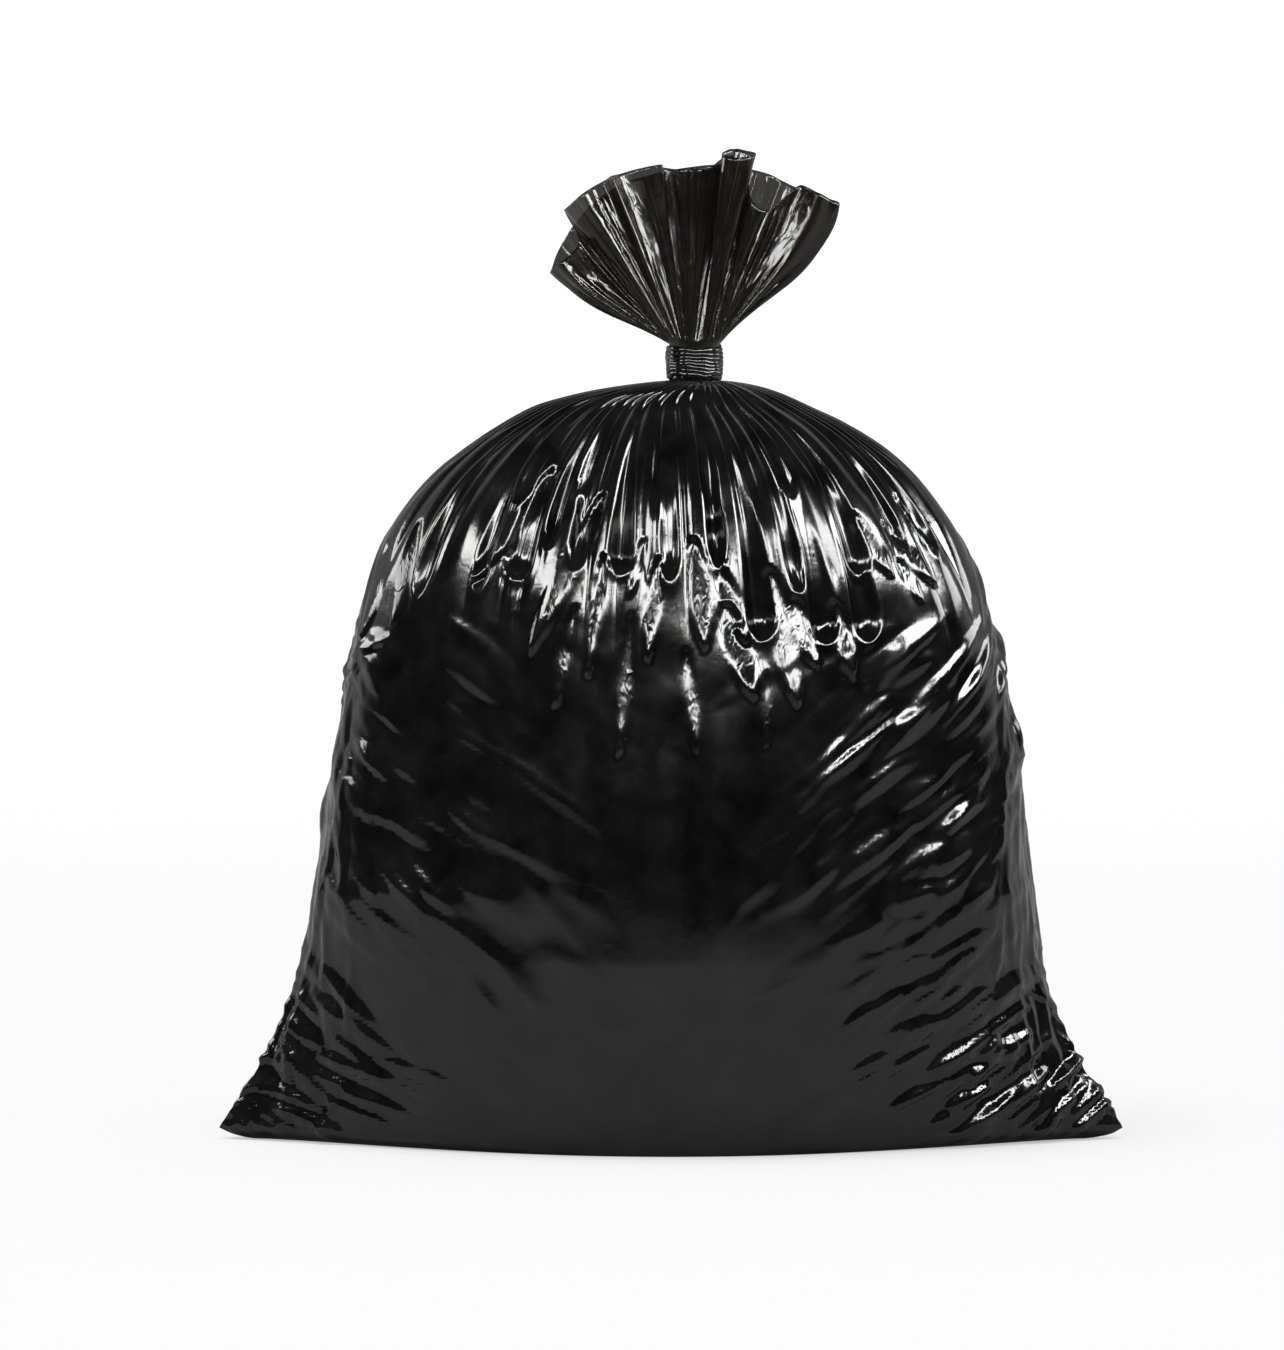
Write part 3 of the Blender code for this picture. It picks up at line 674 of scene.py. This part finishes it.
slack = np.zeros(from_neck.shape)
for x0, z0, x1, z1, half in CREASES:
    start = on_front(x0 * MM, z0 * MM)
    end = on_front(x1 * MM, z1 * MM)
    below = max(0, 1 - (z0 + z1) / 2 * MM / BELLY_HEIGHT)
    steepness = (CREASE_STEEPNESS + FOOT_STEEPNESS * below) * (1 if x0 > 0 else LEFT_SHARE)
    bow = rng.uniform(-0.003, 0.003)
    slack = np.maximum(slack, crease(start, end, half * MM, steepness * half * MM, bow))
    # Thin ones run beside each, a little way along it and off it
    for index in range(THIN_CREASES):
        on = rng.uniform(-0.6, 0.6)
        off = rng.uniform(-0.024, 0.024)
        shift = (on * (end[0] - start[0]), on * (end[1] - start[1]) + off)
        thin_start = (start[0] + shift[0], start[1] + shift[1])
        thin_end = (end[0] + shift[0], end[1] + shift[1])
        thin_half = max(THIN_SHARE * half, THINNEST) * MM
        thin_lift = rng.uniform(0.5, 1.4) * steepness * thin_half
        slack = np.maximum(slack, crease(thin_start, thin_end, thin_half, thin_lift))
# The back has them too, half a turn on
turned = (TURNS + math.pi) % FULL_TURN
slack = np.maximum(slack, [np.interp(turned, TURNS, row, period=FULL_TURN) for row in slack])
crumpled = np.maximum(crumpled, np.clip(slack / CRUMPLED_HEIGHT, 0, 1))

# Softer creases that fall towards the middle of the front and of the back from both sides
SOFT_CREASES = 420
side_reach = float(np.interp(BELLY_HEIGHT, heights, girth[:, 0])) / 4
soft = np.zeros(from_neck.shape)
for index in range(SOFT_CREASES):
    middle = 2 * side_reach * (index % 2)
    side = rng.choice((-1, 1))
    height = rng.uniform(0.05, 0.42)
    reach = side_reach * rng.uniform(0.30, 1.0)
    length = rng.uniform(0.05, 0.13)
    slope = math.radians(rng.uniform(22, 48))
    start = (middle + side * reach, height)
    end = (start[0] - side * length * math.cos(slope), height - length * math.sin(slope))
    lift = rng.uniform(0.0006, 0.0020) * (0.5 + 0.8 * smooth_step(reach, 0.3 * side_reach, 0.9 * side_reach))
    lift *= 1 if side > 0 else LEFT_SHARE
    soft += crease(start, end, rng.uniform(0.005, 0.012), lift, rng.uniform(-0.005, 0.005))

# Small upright wrinkles down both side edges
EDGE_WRINKLES = 130
for side in (-1, 1):
    for index in range(EDGE_WRINKLES):
        reach = side * (side_reach + rng.uniform(-0.075, 0.075))
        height = rng.uniform(0.02, 0.52)
        length = rng.uniform(0.03, 0.10)
        end = (reach + rng.uniform(-0.016, 0.016), height - length)
        soft += crease((reach, height), end, rng.uniform(0.005, 0.009), rng.uniform(0.0006, 0.0018))

# The waste inside pushes the middle of the front and of the back out a little above the foot, and the film
# sinks in between that and the side edges
BULGE_SHIFT = 0.012
BULGE_HEIGHT = 0.225
BULGE_WIDTH = 0.105
BULGE_RISE = 0.100
BULGE_DEPTH = 0.011
HOLLOW_PLACE = 0.200
HOLLOW_WIDTH = 0.080
HOLLOW_HEIGHT = 0.265
HOLLOW_RISE = 0.110
HOLLOW_DEPTH = 0.007


def hill(across, width, up, rise):
    """A smooth round hill, 1 at its top, for how far points lie from its middle across and up."""
    return np.exp(-((across / width) ** 2) - (up / rise) ** 2)


def lump(point):
    """Lumps of packed waste about 110 mm apart and 3.5 mm high, with some of 37 mm and 0.8 mm on them."""
    return noise.noise(Vector(point) * 9.0) * 0.0035 + noise.noise(Vector(point) * 27.0) * 0.0008


lumps = np.array([[lump(point) for point in ring] for ring in body])
lift = flaps + lips - sunk - valleys + slack + soft + lumps * smooth_step(from_neck, 0.02, 0.12)
from_bulge = body[..., 0] - BULGE_SHIFT
lift += BULGE_DEPTH * hill(from_bulge, BULGE_WIDTH, body[..., 2] - BULGE_HEIGHT, BULGE_RISE)
beside = np.abs(from_bulge) - HOLLOW_PLACE
lift -= HOLLOW_DEPTH * hill(beside, HOLLOW_WIDTH, body[..., 2] - HOLLOW_HEIGHT, HOLLOW_RISE)
lift *= smooth_step(heights, 0, 0.012)[:, None]
folded = body + facing * lift[..., None]
folded[1:, :, 2] = np.maximum(folded[1:, :, 2], heights[1] / 2)
neck_wall = [folded[-1] + (0, 0, NECK_WALL * share) for share in (0.3, 1.0)]


def grid_faces(rows, columns):
    """Quads of a tube of rings, pointing outwards."""
    faces = []
    for low in range(0, (rows - 1) * columns, columns):
        high = low + columns
        for c in range(columns):
            beside = (c + 1) % columns
            faces.append((low + c, low + beside, high + beside, high + c))
    return faces


# Blown polyethylene film, black with soot: near black with a sharp gloss, a little hazier in patches where
# it is thicker. Its own crinkle is under 1 mm and wouldn't show, so it is drawn as strokes about 4 mm by
# 12 mm that slant as the creases do, mostly where the film is crumpled. The patches are about 25 mm wide.
film = new_material("blown black polyethylene film")
tree = film.node_tree
place = add_node(tree, "ShaderNodeTexCoord")
loose = add_node(tree, "ShaderNodeAttribute", {"attribute_name": "crumple"})
strokes = add_node(
    tree,
    "ShaderNodeMapping",
    inputs={
        "Vector": place.outputs["Object"],
        "Rotation": (0, math.radians(32), 0),
        "Scale": (230.0, 120.0, 85.0),
    },
)
crinkle = add_node(
    tree,
    "ShaderNodeTexNoise",
    {"noise_dimensions": "3D", "noise_type": "RIDGED_MULTIFRACTAL"},
    {"Vector": strokes.outputs[0], "Scale": 1.0, "Detail": 2.0, "Roughness": 0.6, "Distortion": 0.8},
)
drift = add_node(
    tree,
    "ShaderNodeTexNoise",
    {"noise_dimensions": "3D"},
    {"Vector": place.outputs["Object"], "Scale": 38.0, "Detail": 4.0, "Roughness": 0.5, "Distortion": 0.4},
)
amount = add_node(
    tree, "ShaderNodeMapRange", inputs={"Value": loose.outputs["Fac"], "To Min": 0.10, "To Max": 0.6}
)
small = add_node(
    tree, "ShaderNodeMath", {"operation": "MULTIPLY"}, {0: crinkle.outputs["Fac"], 1: amount.outputs[0]}
)
bumps = add_node(
    tree,
    "ShaderNodeMath",
    {"operation": "MULTIPLY_ADD"},
    {0: drift.outputs["Fac"], 1: 0.5, 2: small.outputs[0]},
)
bump = add_node(
    tree, "ShaderNodeBump", inputs={"Strength": 0.40, "Distance": 0.0014, "Height": bumps.outputs[0]}
)
haze = add_node(
    tree,
    "ShaderNodeMapRange",
    inputs={"Value": drift.outputs["Fac"], "From Min": 0.3, "From Max": 0.7, "To Min": 0.09, "To Max": 0.16},
)
thickness = add_node(
    tree,
    "ShaderNodeMapRange",
    inputs={"Value": drift.outputs["Fac"], "From Min": 0.3, "From Max": 0.7},
)
tint = add_node(
    tree,
    "ShaderNodeMix",
    {"data_type": "RGBA"},
    {"Factor": thickness.outputs[0], "A": linear("#0b0b0b"), "B": linear("#1c1b1b")},
)
shader = add_node(
    tree,
    "ShaderNodeBsdfPrincipled",
    inputs={
        "Base Color": tint.outputs["Result"],
        "Roughness": haze.outputs[0],
        "IOR": 1.52,
        "Normal": bump.outputs[0],
    },
)
add_node(tree, "ShaderNodeOutputMaterial", inputs={"Surface": shader.outputs[0]})

body_rings = [folded[0] * (share, share, 0) for share in (0.33, 0.66)] + list(folded) + neck_wall
foot_middle = np.array([[0, 0, 0]])
neck_middle = np.array([[NECK_SHIFT, 0, CROWN_HEIGHT + NECK_WALL]])
body_points = np.vstack(body_rings + [foot_middle, neck_middle])
body_faces = grid_faces(len(body_rings), COLUMNS)
foot_point = len(body_points) - 2
neck_point = len(body_points) - 1
top_ring = (len(body_rings) - 1) * COLUMNS
body_faces += [(foot_point, (c + 1) % COLUMNS, c) for c in range(COLUMNS)]
body_faces += [(neck_point, top_ring + c, top_ring + (c + 1) % COLUMNS) for c in range(COLUMNS)]
bag_body = mesh_object("bag_body", body_points, body_faces, film)
crumple = np.zeros(len(body_points))
crumple[2 * COLUMNS : (2 + ROWS) * COLUMNS] = crumpled.reshape(-1)
bag_body.data.attributes.new("crumple", "FLOAT", "POINT").data.foreach_set("value", crumple)
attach(bag_body, "root")
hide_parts("bag")


# Frill
# The open end of the sack, above the tie: the same film, but loose, so that it fans out in deep pleats,
# with one pleat rolled into a tube at the top and one at the right. Light comes through where it is single.
FRILL_FOOT = tie_high.z + 0.0003
FRILL_COLUMNS = 640
FRILL_ROWS = 56
# The rim in order round it, from its right end over the back to the left and along the front again: fan
# angle in degrees, 0 right and 90 up, then the distance behind the neck and the reach from it, in mm
RIM = (
    (45, 8, 156),
    (50, 15, 153),
    (55.5, 10, 150),
    (57, 15, 146),
    (62, 22, 145),
    (66, 16, 145),
    (71, 23, 144),
    (78, 30, 143),
    (84, 22, 141),
    (90, 24, 139),
    (95, 31, 138),
    (101, 24, 137),
    (107, 31, 137),
    (113, 23, 138),
    (119, 31, 137),
    (125, 26, 136),
    (131, 30, 134),
    (137, 22, 132),
    (143, 26, 130),
    (148, 19, 128),
    (152, 12, 126),
    (154, 6, 126),
    (152, -3, 125),
    (149, -14, 122),
    (144, -6, 119),
    (138, 0, 121),
    (134.5, 0, 143),
    (133, -9, 145),
    (127.5, -21, 145),
    (123, -13.5, 145),
    (119, -5.5, 145),
    (116.5, -19, 145),
    (113.5, -9, 144),
    (109, -7, 143),
    (104, -12, 142),
    (100.5, -20, 141),
    (99.3, -12, 139),
    (97.5, -9, 137),
    (95.5, -16, 136),
    (93.0, -18, 136),
    (91, -13, 136),
    (88, -17, 136),
    (85, -8, 137),
    (80.5, 2, 148),
    (75.2, 4, 153),
    (79.0, 1, 154.5),
    (81.8, -5, 150),
    (81.2, -15, 148),
    (77, -21, 147.5),
    (72.8, -15, 152),
    (72, -6, 155.5),
    (74.5, 0, 155.5),
    (78.2, 0, 154.5),
    (73.0, 3, 147),
    (71, -4, 130),
    (67, -10, 118),
    (61, -10, 118),
    (58, -4, 135),
    (56.5, 0, 148),
    (54, -4, 149),
    (50, -12, 152),
    (47, -5, 154),
    (45, 0, 157),
    (44, 3, 157),
)
# The outer folds bulge sideways between the neck and the rim, by these turns in degrees
RIGHT_BULGE = 8.0
LEFT_BULGE = 5.0


def smooth_loop(corners, steps, count):
    """A smooth closed curve through some corners, as evenly spaced points."""
    before, after, later = (np.roll(corners, shift, axis=0) for shift in (1, -1, -2))
    share = np.linspace(0, 1, steps, endpoint=False)[:, None, None]
    fine = 0.5 * (
        2 * corners
        + (after - before) * share
        + (2 * before - 5 * corners + 4 * after - later) * share**2
        + (3 * corners - before - 3 * after + later) * share**3
    )
    fine = fine.transpose(1, 0, 2).reshape(-1, 3)
    closed = np.vstack([fine, fine[:1]])
    lengths = np.concatenate([[0], np.cumsum(np.linalg.norm(np.diff(closed, axis=0), axis=1))])
    wanted = np.linspace(0, lengths[-1], count, endpoint=False)
    return np.stack([np.interp(wanted, lengths, closed[:, axis]) for axis in range(3)], axis=1)


fan, behind, reach = np.array(RIM, float).T
fan = np.radians(fan)
rim_across = NECK_SHIFT + MM * reach * np.cos(fan)
rim_up = FRILL_FOOT + MM * reach * np.sin(fan)
rim = smooth_loop(np.stack([rim_across, MM * behind, rim_up], axis=1), 20, FRILL_COLUMNS)
rim_out = rim - (NECK_SHIFT, 0, FRILL_FOOT)
rim_fan = np.degrees(np.arctan2(rim_out[:, 2], rim_out[:, 0]))
left_end = int(np.argmax(rim_fan))
FRILL_TURNS = np.interp(np.arange(FRILL_COLUMNS), (0, left_end, FRILL_COLUMNS), (0, math.pi, FULL_TURN))


def neck_ring(radius, height):
    """A ring round the neck, with one point below each of the rim's."""
    across = NECK_SHIFT + radius * np.cos(FRILL_TURNS)
    return np.stack([across, radius * np.sin(FRILL_TURNS), height + 0 * FRILL_TURNS], axis=1)


neck_foot = neck_ring(NECK_RADIUS, FRILL_FOOT)
shares = np.linspace(0, 1, FRILL_ROWS)
leftmost = np.clip((rim_fan - 134) / 20, 0, 1)
rightmost = np.clip((60 - rim_fan) / 15, 0, 1)
bulge_turn = LEFT_BULGE * leftmost - RIGHT_BULGE * rightmost
swing = np.radians(bulge_turn * 4 * (shares * (1 - shares))[:, None])
swung = np.stack(
    [
        NECK_SHIFT + rim_out[:, 0] * np.cos(swing) - rim_out[:, 2] * np.sin(swing),
        rim_out[:, 1] + 0 * swing,
        FRILL_FOOT + rim_out[:, 0] * np.sin(swing) + rim_out[:, 2] * np.cos(swing),
    ],
    axis=2,
)
frill = neck_foot * (1 - shares[:, None, None]) + swung * shares[:, None, None]
frill_facing = outward(frill)
gap = np.linalg.norm(np.roll(frill, -1, axis=1) - frill, axis=2)

# Sharp valleys run up out of the neck between round folds and end at their own heights
FRILL_VALLEYS = 62
VALLEY_COLUMNS = 2.2
VALLEY_STEEPNESS = 5.0
MOST_VALLEY = 0.0042
ruffle = np.zeros(frill.shape[:2])
for index in range(FRILL_VALLEYS):
    middle = FRILL_COLUMNS * (index + rng.uniform(0.1, 0.9)) / FRILL_VALLEYS
    bend = rng.uniform(-6, 6) * shares[:, None] ** 2
    off_middle = np.arange(FRILL_COLUMNS) - middle - bend
    aside = (off_middle + FRILL_COLUMNS / 2) % FRILL_COLUMNS - FRILL_COLUMNS / 2
    ends = rng.uniform(0.4, 1.5)
    strength = smooth_step(shares, 0, 0.06) * (1 - smooth_step(shares, 0.5 * ends, ends))
    depth = np.minimum(VALLEY_STEEPNESS * gap, MOST_VALLEY) * rng.uniform(0.5, 1.0)
    ruffle = np.maximum(ruffle, depth * strength[:, None] * np.exp(-np.abs(aside) / VALLEY_COLUMNS))
# Soft waves about 30 mm long grow towards the rim
WAVE_HEIGHT = 0.0014
waves = np.array([[noise.noise(Vector(point) * 30.0) for point in ring] for ring in frill])
frill += frill_facing * (WAVE_HEIGHT * waves * smooth_step(shares, 0.1, 0.7)[:, None] - ruffle)[..., None]
# The gathered film goes down inside the tie
COLLAR_RADIUS = 0.97 * NECK_RADIUS
collar = [
    neck_ring(COLLAR_RADIUS, tie_low.z + (FRILL_FOOT - tie_low.z) * share) for share in (0.0, 0.5, 0.9)
]

# Blown polyethylene film in a single layer: it lets a little warm light through, and it is crackled along
# its pleats where it was pulled together. The crackle is under 1 mm in the real film and is drawn about
# 10 mm across the pleats and 24 mm along them, and its tint drifts over about 22 mm.
single_film = new_material("single blown polyethylene film")
tree = single_film.node_tree
place = add_node(tree, "ShaderNodeUVMap", {"uv_map": "film"})
strokes = add_node(
    tree,
    "ShaderNodeMapping",
    inputs={"Vector": place.outputs[0], "Scale": (105.0, 42.0, 1.0)},
)
crackle = add_node(
    tree,
    "ShaderNodeTexNoise",
    {"noise_dimensions": "2D", "noise_type": "RIDGED_MULTIFRACTAL"},
    {"Vector": strokes.outputs[0], "Scale": 1.0, "Detail": 1.5, "Roughness": 0.5, "Distortion": 1.2},
)
bump = add_node(
    tree, "ShaderNodeBump", inputs={"Strength": 0.32, "Distance": 0.0012, "Height": crackle.outputs["Fac"]}
)
patches = add_node(
    tree,
    "ShaderNodeTexNoise",
    {"noise_dimensions": "2D"},
    {"Vector": place.outputs[0], "Scale": 45.0, "Detail": 4.0, "Roughness": 0.6, "Distortion": 0.8},
)
tint = add_node(
    tree,
    "ShaderNodeMix",
    {"data_type": "RGBA"},
    {"Factor": patches.outputs["Fac"], "A": linear("#0c0a09"), "B": linear("#2b2420")},
)
add_node(
    tree,
    "ShaderNodeOutputMaterial",
    inputs={
        "Surface": add_node(
            tree,
            "ShaderNodeBsdfPrincipled",
            inputs={
                "Base Color": tint.outputs["Result"],
                "Roughness": 0.15,
                "IOR": 1.52,
                "Alpha": 0.82,
                "Normal": bump.outputs[0],
            },
        ).outputs[0]
    },
)

frill_rings = collar + list(frill)
bag_frill = mesh_object(
    "bag_frill", np.vstack(frill_rings), grid_faces(len(frill_rings), FRILL_COLUMNS), single_film
)
film_map = bag_frill.data.uv_layers.new(name="film")
ring_gap = np.linalg.norm(np.roll(rim, -1, axis=0) - rim, axis=1)
corner_points = np.empty(len(bag_frill.data.loops), int)
bag_frill.data.loops.foreach_get("vertex_index", corner_points)
rows_up, columns_on = np.divmod(corner_points, FRILL_COLUMNS)
# The points at the seam lie at the far end of the way round the rim
columns_on = np.where(columns_on == 0, FRILL_COLUMNS, columns_on)
across_film = np.concatenate([[0], np.cumsum(ring_gap)])[columns_on]
along_film = rows_up / len(frill_rings) * float(reach.mean() * MM)
film_map.data.foreach_set("uv", np.stack([across_film, along_film], axis=1).reshape(-1))
# Ten times as thick as the real film, so that its edge shows at the rim
FILM_THICKNESS = 0.0004
wall = bag_frill.modifiers.new("film thickness", "SOLIDIFY")
wall.thickness = FILM_THICKNESS
wall.offset = -1
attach(bag_frill, "root")
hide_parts("bag")


# Neck tie
# A strip of the same black film, pulled to a narrow strand and wound tightly round the neck eight times.
# Its turns lie on and beside each other, so that they make a barrel with uneven ridges, and hold by friction.
TIE_RADIUS = (tie_high.x - tie_low.x) / 2
TIE_HEIGHT = tie_high.z - tie_low.z
STRAND = 0.0020
STRAND_INSET = 0.0022

# The same film stretched tight: glossier than the sack, with fine lines along the strip, about 2 mm apart
strip_film = new_material("stretched polyethylene film strip")
tree = strip_film.node_tree
place = add_node(tree, "ShaderNodeTexCoord")
lines = add_node(
    tree, "ShaderNodeMapping", inputs={"Vector": place.outputs["Object"], "Scale": (70.0, 70.0, 450.0)}
)
creases = add_node(
    tree,
    "ShaderNodeTexNoise",
    {"noise_dimensions": "3D"},
    {"Vector": lines.outputs[0], "Scale": 1.0, "Detail": 2.0, "Roughness": 0.5, "Distortion": 0.6},
)
bump = add_node(
    tree, "ShaderNodeBump", inputs={"Strength": 0.14, "Distance": 0.0005, "Height": creases.outputs["Fac"]}
)
shader = add_node(
    tree,
    "ShaderNodeBsdfPrincipled",
    inputs={
        "Base Color": linear("#111112"),
        "Roughness": 0.08,
        "IOR": 1.52,
        "Normal": bump.outputs[0],
    },
)
add_node(tree, "ShaderNodeOutputMaterial", inputs={"Surface": shader.outputs[0]})

winding = bpy.data.node_groups.new("wound strip", "GeometryNodeTree")
winding.interface.new_socket("Geometry", in_out="OUTPUT", socket_type="NodeSocketGeometry")
for name, kind, value in (
    ("Turns", "NodeSocketFloat", 8.0),
    ("Radius", "NodeSocketFloat", TIE_RADIUS - STRAND_INSET),
    ("Height", "NodeSocketFloat", TIE_HEIGHT - 2 * STRAND),
    ("Strand", "NodeSocketFloat", STRAND),
    ("Flatness", "NodeSocketFloat", 0.65),
    ("Uneven", "NodeSocketFloat", 1.2),
    ("Wander", "NodeSocketFloat", 0.0110),
    ("Barrel", "NodeSocketFloat", 0.05),
    ("Seed", "NodeSocketFloat", 3.0),
):
    winding.interface.new_socket(name, in_out="INPUT", socket_type=kind).default_value = value
given = add_node(winding, "NodeGroupInput").outputs
spiral = add_node(
    winding,
    "GeometryNodeCurveSpiral",
    inputs={
        "Resolution": 72,
        "Rotations": given["Turns"],
        "Start Radius": given["Radius"],
        "End Radius": given["Radius"],
        "Height": given["Height"],
    },
)
where = add_node(winding, "GeometryNodeInputPosition")
ripple = add_node(
    winding,
    "ShaderNodeTexNoise",
    {"noise_dimensions": "4D"},
    {"Vector": where.outputs[0], "W": given["Seed"], "Scale": 55.0, "Detail": 1.0},
)
centred = add_node(
    winding,
    "ShaderNodeVectorMath",
    {"operation": "SUBTRACT"},
    {0: ripple.outputs["Color"], 1: (0.5, 0.5, 0.5)},
)
shift = add_node(
    winding,
    "ShaderNodeVectorMath",
    {"operation": "SCALE"},
    {0: centred.outputs[0], "Scale": given["Wander"]},
)
# The strip wanders up and down more than in and out, and the first and last turns lie closer in
mostly_up = add_node(
    winding,
    "ShaderNodeVectorMath",
    {"operation": "MULTIPLY"},
    {0: shift.outputs[0], 1: (0.40, 0.40, 0.8)},
)
up = add_node(winding, "ShaderNodeSeparateXYZ", inputs={0: where.outputs[0]})
from_middle = add_node(
    winding,
    "ShaderNodeMapRange",
    inputs={"Value": up.outputs["Z"], "From Max": given["Height"], "To Min": -1.0, "To Max": 1.0},
)
end_share = add_node(
    winding, "ShaderNodeMath", {"operation": "POWER"}, {0: from_middle.outputs[0], 1: 4.0}
)
drawn_in = add_node(
    winding,
    "ShaderNodeMath",
    {"operation": "MULTIPLY"},
    {0: end_share.outputs[0], 1: given["Barrel"]},
)
inwards = add_node(
    winding,
    "ShaderNodeVectorMath",
    {"operation": "MULTIPLY"},
    {0: where.outputs[0], 1: (-1.0, -1.0, 0.0)},
)
pull = add_node(
    winding,
    "ShaderNodeVectorMath",
    {"operation": "SCALE"},
    {0: inwards.outputs[0], "Scale": drawn_in.outputs[0]},
)
offset = add_node(
    winding, "ShaderNodeVectorMath", {"operation": "ADD"}, {0: mostly_up.outputs[0], 1: pull.outputs[0]}
)
wandered = add_node(
    winding,
    "GeometryNodeSetPosition",
    inputs={"Geometry": spiral.outputs[0], "Offset": offset.outputs[0]},
)
swell = add_node(
    winding,
    "ShaderNodeTexNoise",
    {"noise_dimensions": "4D"},
    {"Vector": where.outputs[0], "W": given["Seed"], "Scale": 120.0, "Detail": 1.0},
)
width = add_node(
    winding,
    "ShaderNodeMath",
    {"operation": "MULTIPLY_ADD"},
    {0: swell.outputs["Fac"], 1: given["Uneven"], 2: 0.40},
)
placed = add_node(
    winding,
    "GeometryNodeTransform",
    inputs={"Geometry": wandered.outputs[0], "Translation": (NECK_SHIFT, 0, tie_low.z + STRAND)},
)
upright = add_node(
    winding, "GeometryNodeSetCurveNormal", {"mode": "Z_UP"}, {"Curve": placed.outputs[0]}
)
round_section = add_node(
    winding,
    "GeometryNodeCurvePrimitiveCircle",
    {"mode": "RADIUS"},
    {"Resolution": 16, "Radius": given["Strand"]},
)
flat = add_node(winding, "ShaderNodeCombineXYZ", inputs={"X": given["Flatness"], "Y": 1.0, "Z": 1.0})
section = add_node(
    winding,
    "GeometryNodeTransform",
    inputs={"Geometry": round_section.outputs[0], "Scale": flat.outputs[0]},
)
swept = add_node(
    winding,
    "GeometryNodeCurveToMesh",
    inputs={
        "Curve": upright.outputs[0],
        "Profile Curve": section.outputs[0],
        "Scale": width.outputs[0],
        "Fill Caps": True,
    },
)
smoothed = add_node(winding, "GeometryNodeSetShadeSmooth", inputs={"Geometry": swept.outputs[0]})
whole = add_node(winding, "GeometryNodeRealizeInstances", inputs={"Geometry": smoothed.outputs[0]})
finished = add_node(
    winding, "GeometryNodeSetMaterial", inputs={"Geometry": whole.outputs[0], "Material": strip_film}
)
add_node(winding, "NodeGroupOutput", inputs={0: finished.outputs[0]})

carrier = bpy.data.objects.new("wound strip", bpy.data.meshes.new("wound strip"))
bpy.context.scene.collection.objects.link(carrier)
modifier = carrier.modifiers.new("winding", "NODES")
modifier.node_group = winding
bpy.context.view_layer.update()
shown = carrier.evaluated_get(bpy.context.evaluated_depsgraph_get())
tie = bpy.data.objects.new("neck_tie_strip", bpy.data.meshes.new_from_object(shown))
bpy.context.scene.collection.objects.link(tie)
bpy.data.objects.remove(carrier)
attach(tie, "root")
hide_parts("neck_tie")
